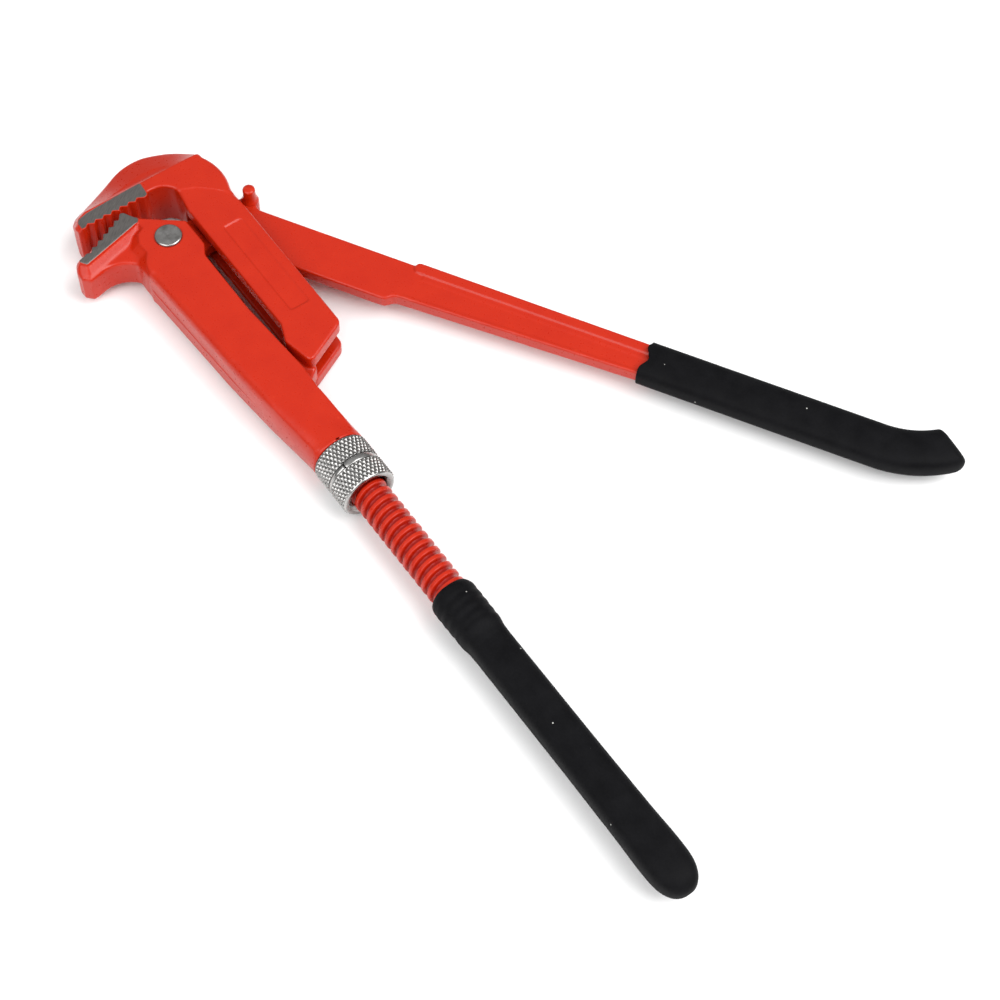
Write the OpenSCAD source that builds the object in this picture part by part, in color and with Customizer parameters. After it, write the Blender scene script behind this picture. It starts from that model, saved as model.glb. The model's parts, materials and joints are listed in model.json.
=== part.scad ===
// Swedish-pattern pipe wrench with 90 degree jaws and a lever handle.
// The wrench lies flat. X runs along the screw handle, away from the jaws, Y towards the
// lever handle, and Z is up. The origin is on the pivot rivet's axis, at the body's lower face.

/* [Forgings] */
// Thickness of the body, the jaws and the hook
forging_t = 16; // [13.5:0.1:20]
// Thickness of the lever
lever_t = 5.5; // [4.5:0.1:6.6]
// Gap on each side of a plate that works in a slot
side_gap = 0.3; // [0.2:0.05:0.5]
// Running gap between a shaft and its bore, on the radius
run_fit = 0.05; // [0.02:0.01:0.08]
// Gap between a fixed pin or sleeve and the piece that holds it, on the radius
seat_fit = 0.02; // [0.01:0.01:0.04]

/* [Jaws] */
// Pitch of the jaw teeth
tooth_pitch = 2.85; // [2.3:0.05:3.4]
// Depth of the jaw teeth
tooth_depth = 1.1; // [0.8:0.1:1.4]
// Grooves between the upper jaw's teeth
tooth_count = 7; // [5:1:8]
// Distance from the pivot back to the upper jaw's tooth tips
upper_jaw_x = 16.9; // [16:0.1:22]
// Thickness of the web behind the lower jaw
web_t = 10; // [9:0.1:12]
// Angle between the two rows of teeth
jaw_wedge = 25.6; // [20:0.2:30]
// Radius of the hook's round head
hook_head_r = 20.2; // [18:0.1:24]

/* [Hook shank] */
// Distance from the screw axis to the shank's front edge
shank_front = 8.9; // [8.5:0.1:11]
// Width of the shank
shank_w = 14.8; // [12.4:0.1:17.8]
// Height of the foot's bridge, above the shank's front edge
foot_rise = 1.6; // [1:0.1:1.8]
// Depth of the blank panel pressed in each face
panel_depth = 0.4; // [0.2:0.1:0.6]

/* [Body] */
// Distance from the pivot to the toe pin, jaws as drawn
toe_x = 62; // [56:0.5:75]
// Distance from the toe pin to the end of the sleeve
sleeve_past_toe = 28; // [24:0.5:36]
// Offset of the screw axis from the pivot
screw_y = 1.3; // [0:0.1:2]
// Width of the wall behind the slot
back_wall = 5.2; // [4:0.1:7]
// Travel of the jaw towards open
open_travel = 30; // [24:0.5:36]
// Travel of the jaw towards closed
close_travel = 0.5; // [0:0.1:0.7]

/* [Screw and nut] */
// Outer diameter of the thread
thread_d = 11; // [10:0.1:13.2]
// Pitch of the thread
thread_pitch = 3; // [2.5:0.1:3.6]
// Depth of the thread
thread_depth = 1.1; // [0.8:0.1:1.3]
// Length of thread that shows behind the nut
thread_shown = 40; // [34:0.5:50]
// Wall of the sleeve's spigot inside the nut
spigot_wall = 1.3; // [1.1:0.1:1.6]
// Wall of the nut outside the spigot
nut_wall = 1.8; // [1.6:0.1:2.4]
// Length of the nut
nut_len = 15.7; // [14:0.1:19]
// Width of the retaining ring
ring_w = 1.3; // [1:0.1:1.6]

/* [Handles] */
// Angle between the lever and the screw axis, lever open
lever_angle = 31; // [28:0.5:35]
// Distance along the lever from the pivot to the start of its bent end
lever_straight = 217; // [180:1:262]
// Length of the lever grip's straight stretch
lever_grip_len = 72; // [60:1:86]
// Width over the lever grip
lever_grip_w = 13.2; // [12:0.1:16]
// Angle of the lever's bent end
bend_angle = 41; // [30:1:50]
// Length of the screw handle's flat bar
bar_len = 108; // [90:1:130]
// Width over the screw handle's grip
bar_grip_w = 12.2; // [11:0.1:14.6]
// Thickness over the screw handle's grip
bar_grip_t = 10.2; // [9:0.1:12.2]
// Wall of both dipped grips
grip_wall = 1.5; // [1.2:0.1:1.8]

/* [Pins] */
// Diameter of the pivot rivet's shank
pivot_d = 6; // [5:0.1:7.2]
// Diameter of the pivot rivet's head
rivet_head_d = 8.4; // [7.6:0.1:10]
// Height of the pivot rivet's head
rivet_head_h = 0.8; // [0.5:0.1:1]
// Diameter of the toe pin
toe_pin_d = 4; // [3.4:0.1:4.8]
// Diameter of the studs that press on the hook's back
stud_d = 3.8; // [2.8:0.1:4.2]

/* [Hidden] */
$fn = 48;
PAINT = "#d93a25";
STEEL = "#8d8a88";
PVC = "#1c1d1e";

half_t = forging_t / 2;
slot_w = lever_t + 2 * side_gap;
ring_r = 6.4;                  // radius of the lever's ring about the pivot
cut = 1;                       // how far a cutting tool runs past a face

// Lower jaw: a full-thickness strip behind the teeth, and a thinner web that carries it
lower_tip = [-8.4, -23.1];     // tooth tip nearest the mouth
lower_dir = 90 + jaw_wedge;    // direction of the row of teeth

// Hook: the head is round, and the shank runs back from it along X
head_c = [-14, screw_y + 5.7];
throat_r = 6;
shank_y0 = screw_y + shank_front;
shank_y1 = shank_y0 + shank_w;
dome_x = -upper_jaw_x - 5.5;   // where the head's flat face starts to fall away

// Toe and foot of the hook, and the body's slot for them
toe_r = 5;
foot_x0 = toe_x - 11;
foot_top = shank_y0 + foot_rise;
bore_r = thread_d / 2 + run_fit;
bore_x0 = toe_x - open_travel - toe_r - 0.5;
slot_end = toe_x + toe_r + close_travel + 0.5;
body_y1 = screw_y + 4.1;       // body's edge beside the hook
cheek_y0 = -ring_r - side_gap - back_wall;

// Sleeve, nut and retaining ring, outwards from the thread
spigot_r = bore_r + spigot_wall;
nut_r = spigot_r + run_fit + nut_wall;
sleeve_x1 = toe_x + sleeve_past_toe;
nut_x0 = sleeve_x1 + 0.1;
nut_x1 = nut_x0 + nut_len;
ring_x = nut_x0 + nut_len / 2 + 0.15;
ring_gap = 0.1;                // end play of the ring in both grooves
ring_groove_r = spigot_r - 0.55;
ring_in_r = spigot_r + run_fit + 0.6;
ring_out_r = nut_r - 0.3;
spigot_x1 = ring_x + ring_w / 2 + 1;
lug_span = 50;

// Screw: the fork on its front end holds the toe
fork_x0 = toe_x - toe_r + 0.5;
fork_x1 = toe_x + toe_r + 0.6;
thread_x1 = nut_x1 + thread_shown;
bar_x1 = thread_x1 + bar_len;

// Lever: u runs along the arm from the pivot and v across it
stud_uv = [13.4, 26.2];
arm_lo = 8.8;
arm_hi = 24;
rib_u = 69;
bend_r = 31;
bend_v = 19.8;
grip_u0 = lever_straight - lever_grip_len;
grip_t = lever_t + 2 * grip_wall;
tang_half = lever_grip_w / 2 - grip_wall;

// Points along an arc from a0 to a1 about c, in n steps
function arc(c, r, a0, a1, n = 10) =
    [for (i = [0:n]) let (a = a0 + (a1 - a0) * i / n) c + r * [cos(a), sin(a)]];

// Saw teeth along a line: each rises over its gentle flank and drops over its steep one.
// side is 1 when the depth is cut to the left of the direction of travel, -1 to the right,
// and rise is the part of a pitch, before each tip, where the gentle flank lies.
function teeth(start, dir, side, rise, count) =
    let (t = [cos(dir), sin(dir)], n = side * [-sin(dir), cos(dir)])
    [for (i = [0:count - 1]) each [
        start + i * tooth_pitch * t,
        start + (i + 1 - rise) * tooth_pitch * t + tooth_depth * n]];

// Everything is drawn about the wrench's mid-plane and lifted to its place
module lifted() translate([0, 0, half_t]) children();
module plate(t) linear_extrude(t, center = true) children();
// A solid turned about the screw's axis, drawn as [radius, distance along X]
module on_screw(x = 0) translate([x, screw_y, 0]) rotate([0, 90, 0]) children();
// A frame that lies along the lever's arm
module along_lever() rotate(lever_angle) children();

// ---- body ----

module lower_strip() {
    t = [cos(lower_dir), sin(lower_dir)];
    top = lower_tip + (tooth_count - 1) * tooth_pitch * t;
    polygon(concat(
        [[-4.9, -25], [-6.8, -26.3], [-7.5, -26.2], lower_tip - 0.4 * tooth_pitch * t],
        teeth(lower_tip, lower_dir, -1, 0.28, tooth_count - 1),
        [top, top + [-0.1, 0.6], top + [0.4, 1.4], [-11.7, -4.3], [-10.8, -4.2], [-10.1, -4.8]]));
}

module lower_web() polygon(concat(
    [[-9.6, -5], [-8.6, -22], [-8.6, -25.2], [-5.3, -28.2], [-3.4, -28.4], [-1.3, -26.4]],
    arc([7.6, -20], 10, 200, 112, 9),
    [[6, -9.5], [0, 0]]));

module cheek_outline() polygon([
    [-11.7, -4.3], [-10.1, -4.8], [0.7, -6.3], [4.6, cheek_y0 + 1.4], [8.2, cheek_y0],
    [toe_x - 7, cheek_y0 + 2.4], [sleeve_x1, screw_y - nut_r],
    [sleeve_x1, screw_y - spigot_r], [slot_end + 8, screw_y + 1], [slot_end + 3, screw_y + 5.4],
    [toe_x, screw_y + 5.9], [toe_x - 10, screw_y + 5.2],
    [toe_x - 26, body_y1], [12, body_y1], [8.2, screw_y + 6.1],
    [-2.3, screw_y + 6.1]]);

// Section of the body behind the pivot, across X, with its long edges broken
module bar_section() {
    c = 1.6;
    polygon([[cheek_y0 + c, -half_t], [20, -half_t], [20, half_t],
             [cheek_y0 + c, half_t], [cheek_y0, half_t - c], [cheek_y0, c - half_t]]);
}

module cheeks() intersection() {
    plate(forging_t) cheek_outline();
    union() {
        translate([-20, -20, -half_t]) cube([29, 40, forging_t]);
        // the housing's corners run out into the round sleeve
        intersection() {
            translate([8, 0, 0]) rotate([90, 0, 90]) linear_extrude(sleeve_x1 - 8) bar_section();
            union() {
                translate([0, -20, -half_t - cut]) cube([toe_x, 40, forging_t + 2 * cut]);
                on_screw(toe_x - 1) cylinder(r1 = nut_r + 4.1, r2 = nut_r, h = sleeve_x1 - toe_x + 1);
            }
        }
    }
}

module body_slot() {
    // room for the lever's ring, open towards the hook and the jaws
    cylinder(r = ring_r + side_gap, h = slot_w, center = true);
    translate([-ring_r - side_gap, 0, -slot_w / 2]) cube([ring_r + bore_x0 + 2, 20, slot_w]);
    // room for the toe over its whole travel
    translate([bore_x0, screw_y - toe_r - side_gap, -slot_w / 2])
        cube([slot_end - bore_x0, 24, slot_w]);
}

module body() color(PAINT) lifted() difference() {
    union() {
        cheeks();
        plate(forging_t) lower_strip();
        plate(web_t) lower_web();
        on_screw(slot_end + 0.5) cylinder(r1 = bore_r + 1.5, r2 = nut_r, h = sleeve_x1 - slot_end - 0.5);
        on_screw(sleeve_x1 - cut) cylinder(r = spigot_r, h = spigot_x1 - sleeve_x1 + cut);
    }
    body_slot();
    on_screw(bore_x0) cylinder(r = bore_r, h = spigot_x1 - bore_x0 + cut);
    cylinder(d = pivot_d + 2 * seat_fit, h = forging_t + 2 * cut, center = true);
    // countersink that the rivet's lower end is closed into
    translate([0, 0, -half_t]) rotate_extrude() polygon([[0, -cut], [rivet_head_d / 2 + seat_fit, -cut],
        [rivet_head_d / 2 + seat_fit, 0], [pivot_d / 2 + seat_fit, 1.2], [0, 1.2]]);
    // groove in the spigot for the retaining ring
    on_screw(ring_x - ring_w / 2 - ring_gap) difference() {
        cylinder(r = spigot_r + cut, h = ring_w + 2 * ring_gap);
        translate([0, 0, -cut]) cylinder(r = ring_groove_r, h = ring_w + 2 * cut);
    }
}

// ---- hook jaw ----

module hook_head() polygon(concat(
    arc(head_c + [1.3, 1.2], hook_head_r - 1.9, 66, 116, 8),
    arc(head_c, hook_head_r, 122, 204, 13),
    [[-25.3, -16.5], [-24.4, -18.8], [-22.6, -20.4], [-20, -21.1],
     [-upper_jaw_x - 0.6, -20.9], [-upper_jaw_x, -19.4]],
    teeth([-upper_jaw_x, 1.6 - tooth_count * tooth_pitch], 90, 1, 0.62, tooth_count),
    [[-upper_jaw_x, 1.6], [-upper_jaw_x - 0.2, 2.9], [-upper_jaw_x - 1.4, 3.8]],
    arc([-upper_jaw_x - 1.4 + throat_r, shank_y0 + 1.3 - throat_r], throat_r, 180, 90, 8),
    [[-5, shank_y0], [-5, shank_y0 + 2]]));

module shank_outline() polygon([
    [-14, shank_y0 + 1.3], [-5, shank_y0], [foot_x0 - 5, shank_y0],
    [foot_x0 + 1, shank_y0 - 2.3], [toe_x, shank_y0 - 0.2], [toe_x + 0.2, foot_top],
    [toe_x - 5.5, shank_y1 - 1.6], [toe_x - 9.5, shank_y1], [-14, shank_y1]]);

module toe_outline() {
    translate([toe_x, screw_y]) circle(r = toe_r);
    polygon([[foot_x0 + 1, shank_y0 - 1], [toe_x - toe_r, screw_y], [toe_x + toe_r, screw_y],
             [toe_x + toe_r, screw_y + 4.6], [toe_x + 0.2, foot_top], [foot_x0 + 1, foot_top]]);
}

// Facets that let the head's upper face fall away towards its rim. Each is a line on the
// face, the direction it falls in and how steeply.
module dome_cut() for (f = [[[dome_x, 0], 180, 22.6], [[dome_x, 22], 150, 45],
                            [[dome_x, -15.9], 205, 59], [[-19, -19.7], 270, 60]])
    translate(concat(f[0], half_t)) rotate(f[1]) rotate([0, f[2], 0])
        translate([0, -50, 0]) cube([40, 100, 20]);

// Part of the channel between the shank's walls, from x0 to x1 and from y0 to y1
module channel(x0, x1, y0, y1)
    translate([x0, y0, -slot_w / 2]) cube([x1 - x0, y1 - y0, slot_w]);

module hook_jaw() color(PAINT) lifted() {
    difference() {
        union() {
            plate(forging_t) hook_head();
            plate(forging_t) shank_outline();
        }
        for (m = [0, 1]) mirror([0, 0, m]) {
            dome_cut();
            translate([toe_x - 56, shank_y0 + 4.9, half_t - panel_depth])
                cube([38, shank_w - 8, panel_depth + cut]);
        }
        // the lever works in this channel, which is open at the shank's end
        channel(-8.5, foot_x0, shank_y0 - 8, shank_y1 + cut);
        channel(foot_x0 - cut, toe_x + 2, foot_top, shank_y1 + cut);
    }
    difference() {
        plate(lever_t) toe_outline();
        translate([toe_x, screw_y, 0])
            cylinder(d = toe_pin_d + 2 * run_fit, h = lever_t + 2 * cut, center = true);
    }
}

// ---- lever ----

// Outline of the lever's head: a ring about the pivot, a neck, and the corner by the studs
module lever_head() {
    circle(r = ring_r);
    polygon(concat(
        [[0, -2], [9.4, 2.2], [10.4, 6]],
        arc([14.4, 4.8], 4, 165, 90, 5),
        [[rib_u, arm_lo], [rib_u + 0.4, arm_hi], [22, arm_hi]],
        arc([18.6, arm_hi + 3.4], 3.4, -85, -160, 5),
        arc(stud_uv, 2.6, 0, 150, 6),
        [[stud_uv[0] - 3.6, stud_uv[1] - 1.5], [1.6, 13.7], [-1.2, 10.5], [-5.2, 3.4]]));
}

// Outline of the arm between the head and the grip
module lever_arm() polygon([
    [rib_u - 2.5, arm_lo], [rib_u, arm_lo + 2.3], [grip_u0 + 4, bend_v - tang_half - 0.7],
    [grip_u0 + 4, bend_v + tang_half], [rib_u + 1, arm_hi + 1], [rib_u, arm_hi]]);

// Outline of a band that follows the handle from u0, half_w to each side, to its bent end
module bent_band(u0, half_w, short = 0) {
    c = [lever_straight, bend_v + bend_r];
    a1 = bend_angle - 90 - short / bend_r * 180 / PI;
    polygon(concat(
        [[u0, bend_v - half_w]],
        arc(c, bend_r + half_w, -90, a1, 8),
        arc(c, bend_r - half_w, a1, -90, 8),
        [[u0, bend_v + half_w]]));
}

module lever() color(PAINT) lifted() along_lever() difference() {
    union() {
        plate(lever_t) lever_head();
        plate(lever_t) lever_arm();
        plate(lever_t) bent_band(grip_u0, tang_half, grip_wall + 0.5);
    }
    cylinder(d = pivot_d + 2 * run_fit, h = lever_t + 2 * cut, center = true);
    translate(concat(stud_uv, 0))
        cylinder(d = stud_d + 2 * seat_fit, h = lever_t + 2 * cut, center = true);
    // the arm's web, sunk between its two ribs on each face
    for (m = [0, 1]) mirror([0, 0, m])
        translate([0, 0, lever_t / 2 - 0.7]) linear_extrude(cut + 0.7) polygon([
            [rib_u + 1.5, arm_hi - 2.7], [rib_u - 1, arm_hi - 4], [rib_u + 0.5, arm_lo + 3.6],
            [grip_u0 - 1, bend_v - tang_half + 0.9], [grip_u0 - 1, arm_hi - 2.6]]);
}

module stud_pin() color(PAINT) lifted() along_lever() translate(concat(stud_uv, 0))
    cylinder(d = stud_d, h = forging_t - 1, center = true);

module lever_grip() color(PVC) lifted() along_lever() difference() {
    plate(grip_t) bent_band(grip_u0, lever_grip_w / 2);
    plate(lever_t + 2 * seat_fit) union() {
        bent_band(grip_u0 - cut, tang_half + seat_fit, grip_wall + 0.5 - seat_fit);
        translate([grip_u0 - cut, bend_v - tang_half - 1]) square([5.1, 2]);
    }
}

// ---- screw handle ----

// Profile of the threaded stretch, as [radius, distance along X]: one groove a pitch, with
// plain stub past the last crest at x1
module thread_profile(x0, x1) {
    turns = floor((x1 - x0) / thread_pitch);
    root = thread_d / 2 - thread_depth;
    polygon(concat(
        [[0, x0], [root, x0]],
        [for (i = [0:turns - 1], q = [[0, 0.1], [1, 0.4], [1, 0.6], [0, 0.9]])
            [root + q[0] * thread_depth, x0 + (i + q[1]) * thread_pitch]],
        [[root, x1 + 1.5], [0, x1 + 1.5]]));
}

// Outline of the flat bar in plan or in side view, half_w to each side of the screw axis
module bar_outline(half_w, collar, x0, x1) polygon(concat(
    [[x0, -half_w - collar], [x0 + 10, -half_w - collar], [x0 + 16, -half_w]],
    [[x1 - 26, -half_w], [x1 - 16, -half_w - 0.5], [x1 - 6, -half_w]],
    arc([x1 - 4, -half_w + 4], 4, -70, -20, 3),
    arc([x1 - 4, half_w - 4], 4, 20, 70, 3),
    [[x1 - 6, half_w], [x1 - 16, half_w + 0.5], [x1 - 26, half_w]],
    [[x0 + 16, half_w], [x0 + 10, half_w + collar], [x0, half_w + collar]]));

// Solid that has one outline in plan and another in side view
module bar_solid(plan_half, side_half, collar, x0, x1) translate([0, screw_y, 0]) intersection() {
    linear_extrude(40, center = true) bar_outline(plan_half, collar, x0, x1);
    rotate([90, 0, 0]) linear_extrude(40, center = true)
        bar_outline(side_half, collar + plan_half - side_half, x0, x1);
}

module screw_handle() color(PAINT) lifted() difference() {
    union() {
        on_screw(fork_x0) cylinder(d = thread_d, h = fork_x1 + 4 - fork_x0);
        on_screw() rotate_extrude() thread_profile(fork_x1 + 3, thread_x1);
        bar_solid(bar_grip_w / 2 - grip_wall, bar_grip_t / 2 - grip_wall, 0.7,
                  thread_x1 + 1, bar_x1 - grip_wall);
    }
    // slot and cross hole of the fork
    translate([fork_x0 - cut, screw_y - 10, -slot_w / 2]) cube([fork_x1 - fork_x0 + cut, 20, slot_w]);
    translate([toe_x, screw_y, 0])
        cylinder(d = toe_pin_d + 2 * seat_fit, h = thread_d + 2 * cut, center = true);
}

module toe_pin() color(STEEL) lifted() translate([toe_x, screw_y, 0])
    cylinder(d = toe_pin_d, h = thread_d - 1, center = true);

module screw_grip() color(PVC) lifted() difference() {
    bar_solid(bar_grip_w / 2, bar_grip_t / 2, 0.7, thread_x1, bar_x1);
    bar_solid(bar_grip_w / 2 - grip_wall + seat_fit, bar_grip_t / 2 - grip_wall + seat_fit, 0.7,
              thread_x1 + 1 - seat_fit, bar_x1 - grip_wall + seat_fit);
    on_screw(thread_x1 - cut)
        cylinder(r = thread_d / 2 - thread_depth + seat_fit, h = 1.5 + seat_fit + cut);
}

// ---- nut, ring and rivet ----

module adjusting_nut() color(STEEL) lifted() on_screw() difference() {
    rotate_extrude() polygon([
        [bore_r, spigot_x1 + 0.3], [spigot_r + run_fit, spigot_x1 + 0.3], [spigot_r + run_fit, nut_x0],
        [nut_r - 0.4, nut_x0], [nut_r, nut_x0 + 0.4],
        [nut_r, ring_x - ring_w / 2 - ring_gap], [ring_in_r - seat_fit, ring_x - ring_w / 2 - ring_gap],
        [ring_in_r - seat_fit, ring_x + ring_w / 2 + ring_gap], [nut_r, ring_x + ring_w / 2 + ring_gap],
        [nut_r, nut_x1 - 0.8], [nut_r - 0.8, nut_x1], [bore_r + 1.1, nut_x1], [bore_r, nut_x1 - 1.1]]);
    // windows that the ring's two lugs reach through
    for (a = [0, 180]) rotate(a - lug_span / 2 - 1)
        translate([0, 0, ring_x - ring_w / 2 - ring_gap])
            rotate_extrude(angle = lug_span + 2)
                translate([ring_groove_r, 0]) square([ring_out_r - ring_groove_r, ring_w + 2 * ring_gap]);
}

module retaining_ring() color(STEEL) lifted() on_screw(ring_x - ring_w / 2) {
    rotate(92) rotate_extrude(angle = 356)
        translate([ring_in_r, 0]) square([ring_out_r - ring_in_r, ring_w]);
    for (a = [0, 180]) rotate(a - lug_span / 2) rotate_extrude(angle = lug_span)
        translate([ring_groove_r + 0.1, 0]) square([ring_in_r + 0.2 - ring_groove_r, ring_w]);
}

module pivot_rivet() color(STEEL) rotate_extrude() polygon(concat(
    [[0, 0], [rivet_head_d / 2, 0], [pivot_d / 2, 1.2], [pivot_d / 2, forging_t],
     [rivet_head_d / 2, forging_t]],
    [for (i = [0:6]) let (a = 90 * i / 6)
        [rivet_head_d / 2 * cos(a), forging_t + 0.2 + (rivet_head_h - 0.2) * sin(a)]]));

body();
hook_jaw();
lever();
screw_handle();
adjusting_nut();
retaining_ring();
pivot_rivet();
toe_pin();
stud_pin();
lever_grip();
screw_grip();
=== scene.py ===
"""Swedish-pattern pipe wrench: the visual model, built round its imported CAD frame.

The forgings are signed distance fields in millimetres, blended so that their fillets and
broken edges come from the maths, and meshed on their zero level. The screw, nut, ring, rivet,
pins and grips are grids of two parameters. Every length below is in millimetres, measured
from the pivot's axis and from the wrench's middle plane, and is turned to metres only when a
mesh is written. The studio alone is laid out in metres.
"""

from __future__ import annotations

import json
import logging
import math
from dataclasses import dataclass, field
from enum import Enum
from functools import partial
from typing import Callable, Sequence

import bpy
import numpy as np
from mathutils import Matrix, Vector

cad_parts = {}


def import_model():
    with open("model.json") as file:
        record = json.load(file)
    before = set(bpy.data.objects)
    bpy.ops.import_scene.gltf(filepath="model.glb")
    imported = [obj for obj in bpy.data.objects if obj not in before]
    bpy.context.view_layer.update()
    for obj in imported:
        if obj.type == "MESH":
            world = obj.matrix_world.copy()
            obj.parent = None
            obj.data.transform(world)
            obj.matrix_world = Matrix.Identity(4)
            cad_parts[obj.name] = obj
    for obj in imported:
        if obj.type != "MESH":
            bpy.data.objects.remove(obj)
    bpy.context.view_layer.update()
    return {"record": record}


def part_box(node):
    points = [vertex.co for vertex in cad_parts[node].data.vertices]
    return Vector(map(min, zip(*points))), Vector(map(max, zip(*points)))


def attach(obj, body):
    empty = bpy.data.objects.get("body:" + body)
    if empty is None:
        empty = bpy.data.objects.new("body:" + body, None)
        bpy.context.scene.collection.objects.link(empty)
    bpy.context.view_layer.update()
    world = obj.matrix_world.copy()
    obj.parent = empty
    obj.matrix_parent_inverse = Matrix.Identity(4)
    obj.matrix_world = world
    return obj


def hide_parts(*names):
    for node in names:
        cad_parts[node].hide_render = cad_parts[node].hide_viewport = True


LOG = logging.getLogger("wrench")
MM = 0.001
Points = Sequence[tuple[float, float]]


# ---------------------------------------------------------------- distance fields


def steps(*spans: tuple[float, float, float]) -> np.ndarray:
    """Grid lines whose spacing changes from span to span.

    Args:
        spans: (start, end, spacing) of each span, end to end.

    Returns:
        The lines' places in rising order.
    """
    parts = [
        np.linspace(a, b, max(2, int(round((b - a) / s)) + 1))[:-1]
        for a, b, s in spans
    ]
    return np.concatenate(parts + [np.array([spans[-1][1]])])


def smoothstep(t: np.ndarray) -> np.ndarray:
    """Eases from 0 to 1: t squared times (3 - 2t), with t held between 0 and 1."""
    t = np.clip(t, 0.0, 1.0)
    return t * t * (3.0 - 2.0 * t)


def join(a: np.ndarray, b: np.ndarray, fillet: float) -> np.ndarray:
    """Union of two fields with a fillet: the lesser, less a quarter of the fillet times the
    square of how nearly equal they are."""
    h = np.maximum(fillet - np.abs(a - b), 0.0) / fillet
    return np.minimum(a, b) - h * h * fillet / 4.0


def common(a: np.ndarray, b: np.ndarray, fillet: float) -> np.ndarray:
    """Overlap of two fields with a rounded edge, the union turned inside out."""
    return -join(-a, -b, fillet)


def cut(a: np.ndarray, b: np.ndarray, fillet: float) -> np.ndarray:
    """First field less the second, with a rounded edge."""
    return common(a, -b, fillet)


def outline(points: Points, x: np.ndarray, y: np.ndarray) -> np.ndarray:
    """Signed distance to a closed outline, negative inside.

    The distance is the least of the distances to the outline's sides, and its sign comes from
    counting how many sides a line drawn to the right of the place crosses.

    Args:
        points: corners in order.
        x, y: places, arrays that broadcast together.

    Returns:
        Array of the broadcast shape.
    """
    p = np.asarray(points, float)
    q = np.roll(p, -1, axis=0)
    best = np.full(np.broadcast(x, y).shape, np.inf)
    odd = np.zeros(best.shape, bool)
    for (ax, ay), (bx, by) in zip(p, q):
        ex, ey = bx - ax, by - ay
        t = np.clip(((x - ax) * ex + (y - ay) * ey) / (ex * ex + ey * ey + 1e-12), 0, 1)
        best = np.minimum(best, (x - ax - t * ex) ** 2 + (y - ay - t * ey) ** 2)
        if ay != by:
            spans = (ay > y) != (by > y)
            odd ^= spans & (x < ax + (y - ay) * ex / (by - ay))
    return np.where(odd, -1.0, 1.0) * np.sqrt(best)


def slab(
    plan: np.ndarray, z: np.ndarray, half: np.ndarray | float, r: np.ndarray | float
) -> np.ndarray:
    """Plate of a plan outline whose long edges are rounded.

    Both distances are drawn in by the edge radius, joined as the length of their outside
    parts, and let out again by it.

    Args:
        plan: signed distance to the outline in plan.
        z: height from the middle plane.
        half: half thickness.
        r: edge radius.

    Returns:
        Signed distance to the plate.
    """
    a = plan + r
    b = np.abs(z) - half + r
    return np.minimum(np.maximum(a, b), 0.0) + np.hypot(np.maximum(a, 0.0), np.maximum(b, 0.0)) - r


def brick(
    x: np.ndarray, y: np.ndarray, z: np.ndarray, low: Sequence[float], high: Sequence[float]
) -> np.ndarray:
    """Distance to a block between two corners: the greatest of the six sides' distances."""
    return np.maximum(
        np.maximum(np.maximum(low[0] - x, x - high[0]), np.maximum(low[1] - y, y - high[1])),
        np.maximum(low[2] - z, z - high[2]),
    )


def arc(
    c: tuple[float, float], r: float, a0: float, a1: float, n: int = 14
) -> list[tuple[float, float]]:
    """Points on a circle about c from angle a0 to a1, in degrees."""
    a = np.radians(np.linspace(a0, a1, n))
    return [(c[0] + r * math.cos(t), c[1] + r * math.sin(t)) for t in a]


# ---------------------------------------------------------------- meshes


def net(values: np.ndarray, lines: Sequence[np.ndarray]) -> tuple[np.ndarray, np.ndarray]:
    """Mesh of a field's zero level, as a net of four-sided faces.

    Each cell that the surface passes through gets one point, the mean of the places where the
    cell's twelve edges cross zero. Each grid edge that crosses zero gets one face through the
    four cells round it, turned to face the field's positive side.

    Args:
        values: the field at the grid's crossings.
        lines: the grid lines along x, y and z.

    Returns:
        Points (n, 3) and faces (m, 4).
    """
    inside = values < 0.0
    low = inside[:-1, :-1, :-1]
    mixed = np.zeros(low.shape, bool)
    shape = values.shape
    for d in np.ndindex(2, 2, 2):
        view = tuple(slice(o, shape[k] - 1 + o) for k, o in enumerate(d))
        mixed |= inside[view] != low
    cells = np.argwhere(mixed)
    total = np.zeros((len(cells), 3))
    count = np.zeros(len(cells))
    for axis in range(3):
        u, v = (axis + 1) % 3, (axis + 2) % 3
        for du, dv in np.ndindex(2, 2):
            a = cells.copy()
            a[:, u] += du
            a[:, v] += dv
            b = a.copy()
            b[:, axis] += 1
            f0, f1 = values[tuple(a.T)], values[tuple(b.T)]
            hit = (f0 < 0.0) != (f1 < 0.0)
            t = np.where(hit, f0 / np.where(hit, f0 - f1, 1.0), 0.0)
            place = np.empty((len(cells), 3))
            place[:, u] = lines[u][a[:, u]]
            place[:, v] = lines[v][a[:, v]]
            start = lines[axis][a[:, axis]]
            place[:, axis] = start + t * (lines[axis][b[:, axis]] - start)
            total += place * hit[:, None]
            count += hit
    number = np.full(low.shape, -1, np.int64)
    number[mixed] = np.arange(len(cells))
    faces = []
    for axis in range(3):
        u, v = (axis + 1) % 3, (axis + 2) % 3
        first = [slice(1, n - 1) for n in shape]
        second = list(first)
        first[axis], second[axis] = slice(0, shape[axis] - 1), slice(1, shape[axis])
        f0, f1 = inside[tuple(first)], inside[tuple(second)]
        base = np.argwhere(f0 != f1)
        rising = f0[tuple(base.T)]
        base[:, u] += 1
        base[:, v] += 1
        corners = []
        for du, dv in ((-1, -1), (0, -1), (0, 0), (-1, 0)):
            c = base.copy()
            c[:, u] += du
            c[:, v] += dv
            corners.append(number[tuple(c.T)])
        quad = np.stack(corners, axis=1)
        faces.append(np.where(rising[:, None], quad, quad[:, ::-1]))
    return total / count[:, None], np.concatenate(faces)


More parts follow.
